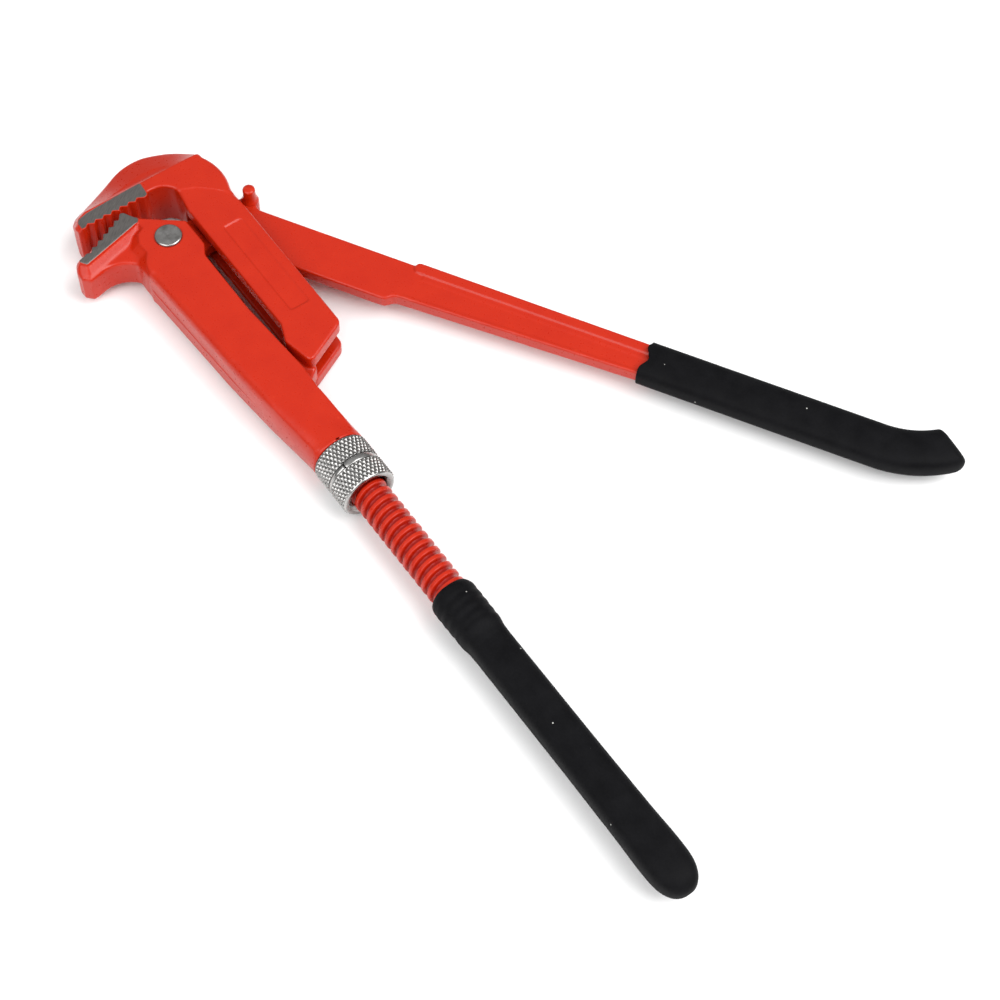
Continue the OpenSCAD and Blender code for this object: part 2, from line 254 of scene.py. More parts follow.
def tube(rings: np.ndarray, closed_ends: bool = True) -> tuple[np.ndarray, list[np.ndarray]]:
    """Closed skin over rings of points, each ring joined to the next.

    Args:
        rings: (rings, points in a ring, 3).
        closed_ends: whether the ends are closed to their middles, or the last ring is joined
            to the first.

    Returns:
        Points, and lists of four-sided and three-sided faces.
    """
    n, m, _ = rings.shape
    i = np.arange(n if not closed_ends else n - 1)[:, None]
    j = np.arange(m)[None, :]
    i1, j1 = (i + 1) % n, (j + 1) % m
    quads = np.stack([i * m + j + 0 * i, i * m + j1, i1 * m + j1, i1 * m + j], axis=-1).reshape(-1, 4)
    points = rings.reshape(-1, 3)
    faces = [quads]
    if closed_ends:
        poles = np.stack([rings[0].mean(axis=0), rings[-1].mean(axis=0)])
        points = np.concatenate([points, poles])
        k = np.arange(m)
        k1 = (k + 1) % m
        last = (n - 1) * m
        faces.append(np.stack([k1, k, np.full(m, n * m)], axis=1))
        faces.append(np.stack([last + k, last + k1, np.full(m, n * m + 1)], axis=1))
    return points, faces


def volume(points: np.ndarray, faces: Sequence[np.ndarray]) -> float:
    """Signed volume: a sixth of the sum of each triangle's triple product."""
    total = 0.0
    for f in faces:
        for k in range(1, f.shape[1] - 1):
            a, b, c = points[f[:, 0]], points[f[:, k]], points[f[:, k + 1]]
            total += float(np.einsum("ij,ij->i", a, np.cross(b, c)).sum()) / 6.0
    return total


@dataclass
class Skin:
    """Points in millimetres and faces of one piece, gathered from closed shells."""

    points: list[np.ndarray] = field(default_factory=list)
    faces: list[np.ndarray] = field(default_factory=list)
    bare: list[np.ndarray] = field(default_factory=list)
    # painted shade at each point, 0 to 1
    painted_shade: list[np.ndarray] = field(default_factory=list)

    def add(
        self,
        points: np.ndarray,
        faces: Sequence[np.ndarray] | np.ndarray,
        bare: np.ndarray | None = None,
        painted_shade: np.ndarray | None = None,
    ) -> None:
        """Adds one closed shell, turned outwards.

        Args:
            points: (n, 3) in millimetres.
            faces: one array of faces, or a list of them.
            bare: depth in millimetres inside the ground areas at each point, if any.
            painted_shade: how much painted shade darkens each point, 0 to 1, if at all.
        """
        if isinstance(faces, np.ndarray):
            faces = [faces]
        if volume(points, faces) < 0.0:
            faces = [f[:, ::-1] for f in faces]
        start = sum(len(p) for p in self.points)
        self.points.append(points)
        self.faces += [f + start for f in faces]
        self.bare.append(np.full(len(points), -1.0) if bare is None else bare)
        self.painted_shade.append(np.zeros(len(points)) if painted_shade is None else painted_shade)

    def to_object(self, name: str, lift: float) -> bpy.types.Object:
        """Writes the piece's mesh in metres, with smooth faces.

        Args:
            name: the piece's name.
            lift: height of the wrench's middle plane above the frame's origin.

        Returns:
            The new object, at the origin.
        """
        co = np.concatenate(self.points)
        co = (co + np.array([0.0, 0.0, lift])) * MM
        loops = np.concatenate([f.ravel() for f in self.faces]).astype(np.int32)
        sizes = np.concatenate([np.full(len(f), f.shape[1]) for f in self.faces])
        starts = np.concatenate([[0], np.cumsum(sizes)[:-1]]).astype(np.int32)
        mesh = bpy.data.meshes.new(name)
        mesh.vertices.add(len(co))
        mesh.vertices.foreach_set("co", co.astype(np.float32).ravel())
        mesh.loops.add(len(loops))
        mesh.loops.foreach_set("vertex_index", loops)
        mesh.polygons.add(len(starts))
        mesh.polygons.foreach_set("loop_start", starts)
        mesh.polygons.foreach_set("use_smooth", np.ones(len(starts), bool))
        mesh.update(calc_edges=True)
        # the ground areas, and the painted shade, go on the mesh as point attributes
        for key, parts in (("bare", self.bare), ("painted_shade", self.painted_shade)):
            values = mesh.attributes.new(key, "FLOAT", "POINT")
            values.data.foreach_set("value", np.concatenate(parts).astype(np.float32))
        mesh.validate()
        made = bpy.data.objects.new(name, mesh)
        bpy.context.scene.collection.objects.link(made)
        return made


# ---------------------------------------------------------------- finishes


def linear(code: str) -> tuple[float, float, float, float]:
    """Linear colour of an sRGB hex code, by the sRGB curve."""
    parts = [int(code.lstrip("#")[k : k + 2], 16) / 255.0 for k in (0, 2, 4)]
    low = [c / 12.92 if c <= 0.04045 else ((c + 0.055) / 1.055) ** 2.4 for c in parts]
    return (low[0], low[1], low[2], 1.0)


def add_node(
    tree: bpy.types.NodeTree,
    kind: str,
    inputs: dict[str | int, object] | None = None,
    stops: Sequence[tuple[float, str]] = (),
    **settings: object,
) -> bpy.types.Node:
    """Adds a node with its settings, constants and links.

    Args:
        tree: the node tree.
        kind: the node's type name, less its "ShaderNode".
        inputs: socket to a constant, to the output socket linked to it, or to a node whose
            first output is.
        stops: a colour ramp's places and sRGB hex codes.
        settings: properties of the node itself.

    Returns:
        The node.
    """
    made = tree.nodes.new("ShaderNode" + kind)
    for key, value in settings.items():
        setattr(made, key, value)
    for key, value in (inputs or {}).items():
        if isinstance(value, bpy.types.Node):
            value = value.outputs[0]
        if isinstance(value, bpy.types.NodeSocket):
            tree.links.new(value, made.inputs[key])
        else:
            made.inputs[key].default_value = value
    if stops:
        elements = made.color_ramp.elements
        while len(elements) < len(stops):
            elements.new(0.5)
        for element, (place, code) in zip(elements, stops):
            element.position, element.color = place, linear(code)
    return made


def begin(name: str) -> tuple[bpy.types.Material, Callable[..., bpy.types.Node], bpy.types.NodeSocket]:
    """Starts a material.

    Args:
        name: the material's name.

    Returns:
        The empty material, add_node bound to its tree, and each point's place on the piece.
    """
    made = bpy.data.materials.new(name)
    made.use_nodes = True
    made.node_tree.nodes.clear()
    add = partial(add_node, made.node_tree)
    return made, add, add("TexCoord").outputs["Object"]


class Finish(Enum):
    """The wrench's finishes, by what they are made of."""

    ENAMEL = "sprayed red enamel on forged steel"
    ZINC = "bright zinc plate on turned steel"
    RIVET = "burnished steel rivet"
    VINYL = "dipped black vinyl"


@dataclass(frozen=True)
class Enamel:
    """Gloss enamel sprayed over a forging, bare where the jaws were ground.

    To the eye it is an even orange-red with broad soft lights and a faint ripple of the forging
    under it. It is paler on an edge, where the paint runs thinner and a highlight is painted,
    and darker in corners and the thread's valleys, where shade is painted. The ground faces
    are bare, finely scratched steel. Lengths are in millimetres.
    """

    coat: str = "#B01F04"
    coat_light: str = "#B52306"
    # painted shade, laid in corners and in the thread's valleys
    shade_red: str = "#8C0D04"
    # paler edge colour: thinner paint there, and a painted highlight
    edge_thin_and_lit: str = "#BE3013"
    steel_dark: str = "#575452"
    steel_light: str = "#7C7875"
    ripple: float = 7.0
    ripple_height: float = 0.14
    peel: float = 0.9
    peel_height: float = 0.0035
    scratch: float = 0.22
    scratch_length: float = 2.6
    scratch_height: float = 0.012
    grind_turn: float = 126.0
    # how far the painted shade in corners reaches
    shade_reach: float = 2.2
    ragged: float = 0.16
    ragged_size: float = 0.625
    steel_metal: float = 0.75
    specular: float = 0.36

    def build(self) -> bpy.types.Material:
        """Makes the material: paint and bare steel share one shader, chosen by the piece's
        own depth inside the ground areas.

        Returns:
            The material.
        """
        made, add, place = begin("red_enamel")
        depth = add("Attribute", attribute_name="bare").outputs["Fac"]
        edge = add("TexNoise", {"Vector": place, "Scale": 1.0 / (self.ragged_size * MM), "Detail": 2.0})
        edge = add("Math", {0: edge, 1: self.ragged, 2: -self.ragged / 2.0}, operation="MULTIPLY_ADD")
        edge = add("Math", {0: depth, 1: edge}, operation="ADD")
        mask = add("MapRange", {0: edge, 1: 0.0, 2: 0.12})
        cloud = add("TexNoise", {
            "Vector": place, "Scale": 1.0 / (self.ripple * MM), "Detail": 3.0, "Roughness": 0.55,
        })
        peel = add("TexNoise", {"Vector": place, "Scale": 1.0 / (self.peel * MM), "Detail": 1.0})
        # slightly uneven coat; paler on sharp edges, where the paint runs thinner and a highlight is
        # painted, and darker in corners, where shade is painted
        wash = add("MapRange", {0: cloud, 1: 0.3, 2: 0.7})
        wash = add("ValToRGB", {0: wash}, stops=((0.0, self.coat), (1.0, self.coat_light)))
        # paler on sharp edges: thinner paint, and a painted highlight along them
        bend = add("NewGeometry").outputs["Pointiness"]
        lighter = add("MapRange", {0: bend, 1: 0.55, 2: 0.70})
        wash = add("Mix", {0: lighter, 6: wash, 7: linear(self.edge_thin_and_lit)}, data_type="RGBA")
        # painted shade: darker in corners, by how closed in each point is, and in the thread's valleys,
        # by the shade each point carries
        shade_occlusion = add("AmbientOcclusion", {"Distance": self.shade_reach * MM}, samples=8)
        corner = add("MapRange", {0: shade_occlusion.outputs["AO"], 1: 0.66, 2: 0.2})
        painted_shade = add("Attribute", attribute_name="painted_shade").outputs["Fac"]
        deep = add("Math", {0: corner, 1: painted_shade}, operation="MAXIMUM")
        paint = add("Mix", {0: deep, 6: wash.outputs[2], 7: linear(self.shade_red)}, data_type="RGBA")
        # finely ground steel: scratches much longer along the grind than across it
        size = (self.scratch_length * MM, self.scratch * MM, self.scratch_length * MM)
        turn = (0.0, 0.0, math.radians(self.grind_turn))
        grind = add("Mapping", {0: place, 2: turn, 3: size}, vector_type="TEXTURE")
        lines = add("TexNoise", {"Vector": grind, "Scale": 1.0, "Detail": 3.0, "Roughness": 0.7})
        steel = add("MapRange", {0: lines, 1: 0.25, 2: 0.75})
        steel = add("ValToRGB", {0: steel}, stops=((0.0, self.steel_dark), (1.0, self.steel_light)))
        colour = add("Mix", {0: mask, 6: paint.outputs[2], 7: steel}, data_type="RGBA")
        gloss = add("MapRange", {0: peel, 1: 0.3, 2: 0.7, 3: 0.27, 4: 0.34})
        matt = add("MapRange", {0: lines, 1: 0.3, 2: 0.7, 3: 0.42, 4: 0.58})
        rough = add("Mix", {0: mask, 2: gloss, 3: matt}, data_type="FLOAT")
        metal = add("Math", {0: mask, 1: self.steel_metal}, operation="MULTIPLY")
        skin = add("Math", {0: peel, 1: self.peel_height}, operation="MULTIPLY")
        skin = add("Math", {0: cloud, 1: self.ripple_height, 2: skin}, operation="MULTIPLY_ADD")
        scratches = add("Math", {0: lines, 1: self.scratch_height}, operation="MULTIPLY")
        height = add("Mix", {0: mask, 2: skin, 3: scratches}, data_type="FLOAT")
        bump = add("Bump", {"Strength": 0.8, "Distance": MM, "Height": height})
        shader = add("BsdfPrincipled", {
            "Base Color": colour.outputs[2], "Roughness": rough, "Metallic": metal,
            "Specular IOR Level": self.specular, "Normal": bump,
        })
        add("OutputMaterial", {0: shader})
        return made


@dataclass(frozen=True)
class ZincPlate:
    """Bright zinc over turned steel: a cool silver, softly matt, with turning marks round it
    and painted shade in the knurl's valleys. Lengths are in millimetres."""

    light: str = "#B4B3B1"
    middle: str = "#A2A19F"
    # painted shade, laid in the knurl's valleys
    dark: str = "#3C3A38"
    turning: float = 0.25
    turning_length: float = 25.0
    turning_height: float = 0.02
    mottle: float = 1.4
    # how far the painted shade in the valleys reaches
    valley: float = 0.7

    def build(self) -> bpy.types.Material:
        """Makes the material, with painted shade in its hollows, and rippled round the screw's axis.

        Returns:
            The material.
        """
        made, add, place = begin("zinc_plate")
        # painted shade in the knurl's valleys, by how closed in each point is
        shade_occlusion = add("AmbientOcclusion", {"Distance": self.valley * MM}, samples=8)
        valley_shade = add("MapRange", {0: shade_occlusion.outputs["AO"], 1: 0.95, 2: 0.45})
        mottle = add("TexNoise", {"Vector": place, "Scale": 1.0 / (self.mottle * MM), "Detail": 3.0})
        clean = add("MapRange", {0: mottle, 1: 0.35, 2: 0.65})
        clean = add("ValToRGB", {0: clean}, stops=((0.0, self.middle), (1.0, self.light)))
        colour = add("Mix", {0: valley_shade, 6: clean, 7: linear(self.dark)}, data_type="RGBA")
        along, around = 1.0 / (self.turning * MM), 1.0 / (self.turning_length * MM)
        turned = add("Mapping", {0: place, 3: (along, around, around)})
        marks = add("TexNoise", {"Vector": turned, "Scale": 1.0, "Detail": 2.0})
        bump = add("Bump", {"Strength": 0.5, "Distance": self.turning_height * MM, "Height": marks})
        rough = add("MapRange", {0: mottle, 1: 0.3, 2: 0.7, 3: 0.20, 4: 0.30})
        shader = add("BsdfPrincipled", {
            "Base Color": colour.outputs[2], "Roughness": rough, "Metallic": 1.0, "Normal": bump,
        })
        add("OutputMaterial", {0: shader})
        return made


@dataclass(frozen=True)
class RivetSteel:
    """Burnished low-carbon steel: a grey mirror dulled by peening, with darker patches.
    Lengths are in millimetres."""

    light: str = "#B4B2B0"
    middle: str = "#9A9896"
    dark: str = "#77736F"
    patch: float = 3.0
    peen: float = 1.1
    peen_height: float = 0.05

    def build(self) -> bpy.types.Material:
        """Makes the material, mottled as a hammered head is.

        Returns:
            The material.
        """
        made, add, place = begin("burnished_steel")
        patch = add("TexNoise", {
            "Vector": place, "Scale": 1.0 / (self.patch * MM), "Detail": 5.0, "Roughness": 0.6,
        })
        peened = add("TexNoise", {"Vector": place, "Scale": 1.0 / (self.peen * MM), "Detail": 2.0})
        shade = add("MapRange", {0: patch, 1: 0.35, 2: 0.68})
        colours = ((0.0, self.dark), (0.5, self.middle), (1.0, self.light))
        shade = add("ValToRGB", {0: shade}, stops=colours)
        bump = add("Bump", {"Strength": 0.6, "Distance": self.peen_height * MM, "Height": peened})
        rough = add("MapRange", {0: patch, 1: 0.3, 2: 0.7, 3: 0.34, 4: 0.24})
        shader = add("BsdfPrincipled", {
            "Base Color": shade, "Roughness": rough, "Metallic": 1.0, "Normal": bump,
        })
        add("OutputMaterial", {0: shader})
        return made


@dataclass(frozen=True)
class DippedVinyl:
    """Plastisol vinyl from a hot dip: a soft black skin with no gloss, faintly mottled, with
    the odd pale speck of dust caught in it. Lengths are in millimetres."""

    black: str = "#08080A"
    lighter: str = "#111113"
    speck: str = "#B9B9B4"
    grain: float = 0.55
    mottle: float = 6.0
    dust_spacing: float = 5.0
    skin_height: float = 0.06
    specular: float = 0.07

    def build(self) -> bpy.types.Material:
        """Makes the material: fine grain, slow mottling and a few small specks.

        Returns:
            The material.
        """
        made, add, place = begin("dipped_vinyl")
        slow = add("TexNoise", {"Vector": place, "Scale": 1.0 / (self.mottle * MM), "Detail": 4.0})
        grain = add("TexNoise", {"Vector": place, "Scale": 1.0 / (self.grain * MM), "Detail": 2.0})
        both = add("Math", {0: grain, 1: 0.45, 2: slow}, operation="MULTIPLY_ADD")
        base = add("MapRange", {0: both, 1: 0.5, 2: 0.95})
        base = add("ValToRGB", {0: base}, stops=((0.0, self.black), (1.0, self.lighter)))
        dust = add(
            "TexVoronoi", {"Vector": place, "Scale": 1.0 / (self.dust_spacing * MM)}, feature="F1"
        )
        spot = add("MapRange", {0: dust.outputs["Distance"], 1: 0.046, 2: 0.032})
        colour = add("Mix", {0: spot, 6: base, 7: linear(self.speck)}, data_type="RGBA")
        bump = add("Bump", {"Strength": 0.5, "Distance": self.skin_height * MM, "Height": both})
        rough = add("MapRange", {0: slow, 1: 0.3, 2: 0.7, 3: 0.55, 4: 0.66})
        shader = add("BsdfPrincipled", {
            "Base Color": colour.outputs[2], "Roughness": rough,
            "Specular IOR Level": self.specular, "Normal": bump,
        })
        add("OutputMaterial", {0: shader})
        return made


BUILDERS = {
    Finish.ENAMEL: Enamel,
    Finish.ZINC: ZincPlate,
    Finish.RIVET: RivetSteel,
    Finish.VINYL: DippedVinyl,
}


@dataclass
class Shop:
    """What the builders share: the materials, and the middle plane's height."""

    lift: float
    made: dict[Finish, bpy.types.Material] = field(default_factory=dict)

    def finish(self, which: Finish) -> bpy.types.Material:
        """The finish's material, made the first time it is asked for."""
        if which not in self.made:
            self.made[which] = BUILDERS[which]().build()
        return self.made[which]

    def deliver(
        self, skin: Skin, name: str, node: str, body: str, which: Finish
    ) -> bpy.types.Object:
        """Writes a piece, gives it its finish and puts it on its CAD body.

        Args:
            skin: the piece's shells.
            name: the piece's own name.
            node: the CAD node it stands for.
            body: the CAD body it rides on.
            which: its finish.

        Returns:
            The piece's object.
        """
        made = skin.to_object(name, self.lift)
        made.data.materials.append(self.finish(which))
        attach(made, body)
        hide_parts(node)
        LOG.info("%s: %d points, %d faces", name, len(made.data.vertices), len(made.data.polygons))
        return made


# ---------------------------------------------------------------- forgings


def grid(lines: Sequence[np.ndarray]) -> tuple[np.ndarray, np.ndarray, np.ndarray]:
    """The grid's lines as three arrays that broadcast against each other."""
    x, y, z = lines
    return x[:, None, None], y[None, :, None], z[None, None, :]


def mirrored(half: np.ndarray) -> np.ndarray:
    """Grid lines on both sides of the middle plane from those on one side."""
    return np.concatenate([-half[:0:-1], half])


def saw(
    start: tuple[float, float], heading: float, side: float, rise: float, count: int, pitch: float,
    deep: float
) -> list[tuple[float, float]]:
    """Corners of a row of teeth: a tip, then a root, at each pitch.

    Args:
        start: the first tip.
        heading: the row's direction in degrees.
        side: 1 where the roots lie to the left of it, -1 where they lie to the right.
        rise: the root's place along the pitch, from 0 to 1.
        count: number of grooves.
        pitch, deep: spacing and depth.

    Returns:
        The corners, tip first, ending at the last root.
    """
    d = np.array([math.cos(math.radians(heading)), math.sin(math.radians(heading))])
    n = np.array([-d[1], d[0]]) * side
    tips = np.array(start) + np.arange(count)[:, None] * pitch * d
    roots = tips + rise * pitch * d + deep * n
    return [tuple(p) for p in np.stack([tips, roots], axis=1).reshape(-1, 2)]


@dataclass
class Body:
    """The lower forging: fixed jaw, two cheeks with the slot between them, and the housing
    that turns from a bar into a round sleeve for the nut."""

    half: float
    slot: float = 3.05
    screw_y: float = 1.3
    sleeve_end: float = 90.0
    spigot_end: float = 99.75
    ring_x: float = 98.1
    pitch: float = 2.85
    tooth: float = 1.1
    lower_tip: tuple[float, float] = (-8.4, -23.1)
    lower_heading: float = 115.6
    web: float = 5.0

    def strip_plan(self) -> list[tuple[float, float]]:
        """Outline of the toothed strip."""
        d = np.array(
            [math.cos(math.radians(self.lower_heading)), math.sin(math.radians(self.lower_heading))]
        )
        tip = np.array(self.lower_tip)
        top = tip + 6 * self.pitch * d
        return (
            [(-4.9, -25.0), (-6.8, -26.3), (-7.5, -26.2), tuple(tip - 0.4 * self.pitch * d)]
            + saw(self.lower_tip, self.lower_heading, -1.0, 0.30, 6, self.pitch, self.tooth)
            + [
                tuple(top), tuple(top + (-0.1, 0.6)), tuple(top + (0.4, 1.4)), (-11.7, -4.3),
                (-10.8, -4.2), (-10.1, -4.8)
            ]
        )

    def web_plan(self) -> list[tuple[float, float]]:
        """Outline of the jaw's thinner web."""
        return (
            [(-9.6, -5.0), (-8.6, -22.0), (-8.6, -25.2), (-5.3, -28.2), (-3.4, -28.36), (-1.3, -26.4)]
            + arc((7.6, -20.0), 10.0, 200.0, 112.0)
            + [(6.0, -9.5), (0.0, 0.0)]
        )

    def cheek_plan(self) -> list[tuple[float, float]]:
        """Outline of the cheeks and housing."""
        return [
            (-11.7, -4.3), (-10.1, -4.8), (-7.4, -4.6), (-6.0, -7.0), (-3.0, -8.4), (1.2, -8.2),
            (4.6, -10.5), (8.2, -11.9), (55.0, -9.5), (90.0, -7.4), (90.0, 9.9), (80.0, 8.0),
            (71.0, 7.0), (62.0, 7.2), (52.0, 6.5), (36.0, 5.4), (12.0, 5.4), (8.2, 7.4),
            (-2.3, 7.4),
        ]

    def field(self, x: np.ndarray, y: np.ndarray, z: np.ndarray) -> np.ndarray:
        """Signed distance to the forging: cheeks, strip and web joined by fillets, shaped to
        a cone round the screw, then slotted and bored.

        Args:
            x, y, z: places, arrays that broadcast together.

        Returns:
            The distance, negative inside.
        """
        strip = outline(self.strip_plan(), x, y)
        plan = join(outline(self.cheek_plan(), x, y), strip, 0.8)
        back = smoothstep((-y - 2.0) / 4.0) * smoothstep((x - 5.0) / 5.0)
        back = back * (1 - smoothstep((x - 60.0) / 16.0))
        sharp = smoothstep(strip / 0.8)
        shape = slab(plan, z, self.half, 0.12 + 0.45 * sharp + 2.4 * back)
        across = np.hypot(y - self.screw_y, z)
        # the housing's corners run out into a cone round the screw
        cone = 12.8 + (8.55 - 12.8) * (x - 61.0) / 29.0 + 30.0 * smoothstep((50.0 - x) / 12.0)
        shape = common(shape, (across - cone) * 0.99, 3.0)
        sleeve = 6.5 + (8.45 - 6.5) * (x - 70.0) / 20.0
        sleeve = np.maximum(across - sleeve, np.maximum(69.5 - x, x - self.sleeve_end))
        shape = join(shape, sleeve, 0.8)
        shape = np.maximum(shape, x - self.sleeve_end)
        web = slab(outline(self.web_plan(), x, y), z, self.web, 0.9)
        sloped = (shape + web - 2.7) * math.sqrt(0.5)
        shape = join(join(shape, web, 0.5), sloped, 0.6)
        # the line where the two forging dies met
        parting = 0.3 * np.exp(-((z / 0.34) ** 2)) * smoothstep((x - 8.0) / 2.0)
        parting = parting * smoothstep((66.0 - x) / 20.0)
        shape = shape - parting * smoothstep((-y - 6.0) / 2.0)
        spigot = np.maximum(across - 6.85, np.maximum(self.sleeve_end - 1 - x, x - self.spigot_end))
        groove = np.maximum(6.3 - across, np.abs(x - self.ring_x) - 0.75)
        shape = np.minimum(shape, np.maximum(spigot, -groove))
        s = self.slot
        opening = np.maximum(np.hypot(x, y) - 6.7, np.abs(z) - s)
        opening = np.minimum(opening, brick(x, y, z, (-6.7, 0.0, -s), (28.2, 20.0, s)))
        opening = np.minimum(opening, brick(x, y, z, (26.5, -4.0, -s), (68.0, 20.0, s)))
        shape = cut(shape, opening, 0.7)
        bore = np.maximum(across - 5.55, 26.5 - x)
        return np.maximum(shape, -bore)

    def ground(self, p: np.ndarray) -> np.ndarray:
        """Depth inside the ground face of the toothed strip, at each point."""
        plan = -outline(self.strip_plan(), p[:, 0], p[:, 1])
        return np.minimum(plan + 0.25, np.abs(p[:, 2]) - self.half + 0.16)

    def build(self) -> Skin:
        """Meshes the forging, finer at the teeth and along the parting line."""
        xs = steps((-19.0, -3.0, 0.25), (-3.0, 12.0, 0.42), (12.0, 60.0, 0.62), (60.0, 101.0, 0.42))
        ys = steps((-29.0, -4.0, 0.27), (-4.0, 12.0, 0.42))
        zs = mirrored(steps((0.0, 0.8, 0.16), (0.8, 6.8, 0.5), (6.8, 8.4, 0.2)))
        x, y, z = grid((xs, ys, zs))
        points, faces = net(self.field(x, y, z), (xs, ys, zs))
        skin = Skin()
        skin.add(points, faces, self.ground(points))
        return skin

    def dress(self, shop: Shop) -> None:
        """Builds and finishes the forging."""
        shop.deliver(self.build(), "body_forging", "body", "frame", Finish.ENAMEL)


@dataclass
class HookJaw:
    """The upper forging: a domed hook with a toothed inner face, a channelled shank, and a
    toe that reaches down into the body."""

    half: float
    toe: tuple[float, float]
    channel: float = 3.05
    toe_half: float = 2.75
    ridge: float = -22.4
    fall: float = 5.0
    pitch: float = 2.85
    tooth: float = 1.1

    def head_plan(self) -> list[tuple[float, float]]:
        """Outline of the hook, teeth included."""
        return (
            arc((-12.7, 8.2), 18.3, 66.0, 116.0)
            + arc((-14.0, 7.0), 20.2, 122.0, 204.0, 24)
            + [
                (-25.3, -16.5), (-24.4, -18.8), (-22.6, -20.4), (-20.0, -21.1), (-17.5, -20.9),
                (-16.9, -19.4)
            ]
            + saw((-16.9, -18.35), 90.0, 1.0, 0.38, 7, self.pitch, self.tooth)
            + [(-16.9, 1.6), (-17.1, 2.9), (-18.3, 3.8)]
            + arc((-12.3, 5.5), 6.0, 180.0, 90.0)
            + [(-5.0, 10.2), (-5.0, 12.2)]
        )

    def shank_plan(self) -> list[tuple[float, float]]:
        """Outline of the shank."""
        return [
            (-14.0, 11.5), (-5.0, 10.2), (46.0, 10.2), (52.0, 7.9), (60.4, 9.6),
            *arc((60.3, 11.3), 1.7, -75.0, 26.0, 6), *arc((53.6, 22.0), 3.0, 26.0, 90.0, 8),
            (-14.0, 25.0)
        ]

    def ground_plan(self) -> list[tuple[float, float]]:
        """Outline of the ground strip along the teeth."""
        teeth = saw((-17.1, -18.35), 90.0, 1.0, 0.38, 7, self.pitch, self.tooth - 0.1)
        return [(-20.7, -19.7), (-17.2, -19.7)] + teeth + [
            (-17.1, 1.6), (-17.1, 2.3), (-17.6, 3.2), (-22.1, 3.6), (-22.7, 2.8), (-21.9, -13.9),
            (-21.7, -15.9)
        ]

    def top(self, x: np.ndarray, y: np.ndarray, head: np.ndarray) -> np.ndarray:
        """Height of the forging's face above the middle plane.

        It is the half thickness, less a dome past the ridge: the full fall times u over
        (u plus the distance inside the rim), where u is how far the place is past the ridge.
        Past a curved crease the shank lies a little lower, and a panel is sunk in it.

        Args:
            x, y: places in plan.
            head: signed distance to the hook's outline.

        Returns:
            The face's height.
        """
        flat = [
            (self.ridge, 60.0), (self.ridge, -15.9), (-21.2, -18.6), (-19.0, -19.9), (0.0, -19.9),
            (60.0, -19.9), (90.0, 60.0)
        ]
        past = np.maximum(outline(flat, x, y), 0.0)
        inside = np.maximum(-head, 0.0) + 0.05
        drop = self.fall - 2.4 * np.clip((x + 21.5) / 2.0, 0.0, 1.0)
        height = self.half - drop * past / (past + inside + 1.0 + 1.6 * smoothstep((y + 6.0) / 12.0))
        crease = [
            (-13.5, 9.0), (-13.5, 12.2), (-11.6, 16.4), (-8.5, 20.0), (-5.0, 23.2), (-2.0, 26.0),
            (80.0, 30.0), (80.0, 0.0)
        ]
        height = height - 0.3 * smoothstep(-outline(crease, x, y) / 0.4)
        side = np.hypot(
            np.maximum(np.abs(x - 25.0) - 17.8, 0.0), np.maximum(np.abs(y - 18.4) - 2.3, 0.0)
        )
        return height - 0.4 * smoothstep((1.2 - side) / 0.5)

    def field(self, x: np.ndarray, y: np.ndarray, z: np.ndarray) -> np.ndarray:
        """Signed distance to the forging: hook and shank under one face, channelled, with the
        toe joined to the channel's floor.

        Args:
            x, y, z: places, arrays that broadcast together.

        Returns:
            The distance, negative inside.
        """
        head = outline(self.head_plan(), x, y)
        shank = outline(self.shank_plan(), x, y)
        plan = join(head, shank, 0.6)
        face = self.top(x, y, head)
        teeth = smoothstep((-12.0 - x) / 3.0) * smoothstep((4.0 - y) / 2.0)
        crown = 0.9 * smoothstep((y - 9.0) / 6.0) * smoothstep((2.0 - x) / 6.0)
        shape = slab(plan, z, face, 0.8 + crown - 0.7 * teeth * smoothstep((x + 22.0) / 2.0))
        c = self.channel
        room = brick(x, y, z, (-8.5, 2.2, -c), (51.0, 26.0, c))
        room = np.minimum(room, brick(x, y, z, (50.0, 11.8, -c), (66.0, 26.0, c)))
        shape = cut(shape, room, 0.8)
        tx, ty = self.toe
        toe = np.minimum(
            np.hypot(x - tx, y - ty) - 5.0,
            outline(
                [
                    (tx - 10.0, 9.2), (tx - 5.0, ty), (tx + 5.0, ty), (tx + 5.0, 5.9),
                    (tx + 0.2, 11.8), (tx - 10.0, 11.8)
                ],
                x, y
            ),
        )
        toe = np.maximum(slab(toe, z, self.toe_half, 0.5), 2.05 - np.hypot(x - tx, y - ty))
        return join(shape, toe, 0.8)

    def ground(self, p: np.ndarray) -> np.ndarray:
        """Depth inside the ground strip, at each point."""
        plan = -outline(self.ground_plan(), p[:, 0], p[:, 1])
        return np.minimum(plan, np.abs(p[:, 2]) - self.half + 0.16)

    def build(self) -> Skin:
        """Meshes the forging, finer at the teeth and its upper and lower faces."""
        xs = steps((-35.0, -25.0, 0.42), (-25.0, -15.0, 0.25), (-15.0, 0.0, 0.42), (0.0, 68.0, 0.5))
        ys = steps((-22.0, 4.5, 0.27), (4.5, 28.0, 0.42))
        zs = mirrored(steps((0.0, 4.0, 0.45), (4.0, 6.8, 0.35), (6.8, 8.4, 0.2)))
        x, y, z = grid((xs, ys, zs))
        points, faces = net(self.field(x, y, z), (xs, ys, zs))
        skin = Skin()
        skin.add(points, faces, self.ground(points))
        return skin

    def dress(self, shop: Shop) -> None:
        """Builds and finishes the forging."""
        shop.deliver(self.build(), "hook_forging", "hook_jaw", "hook", Finish.ENAMEL)


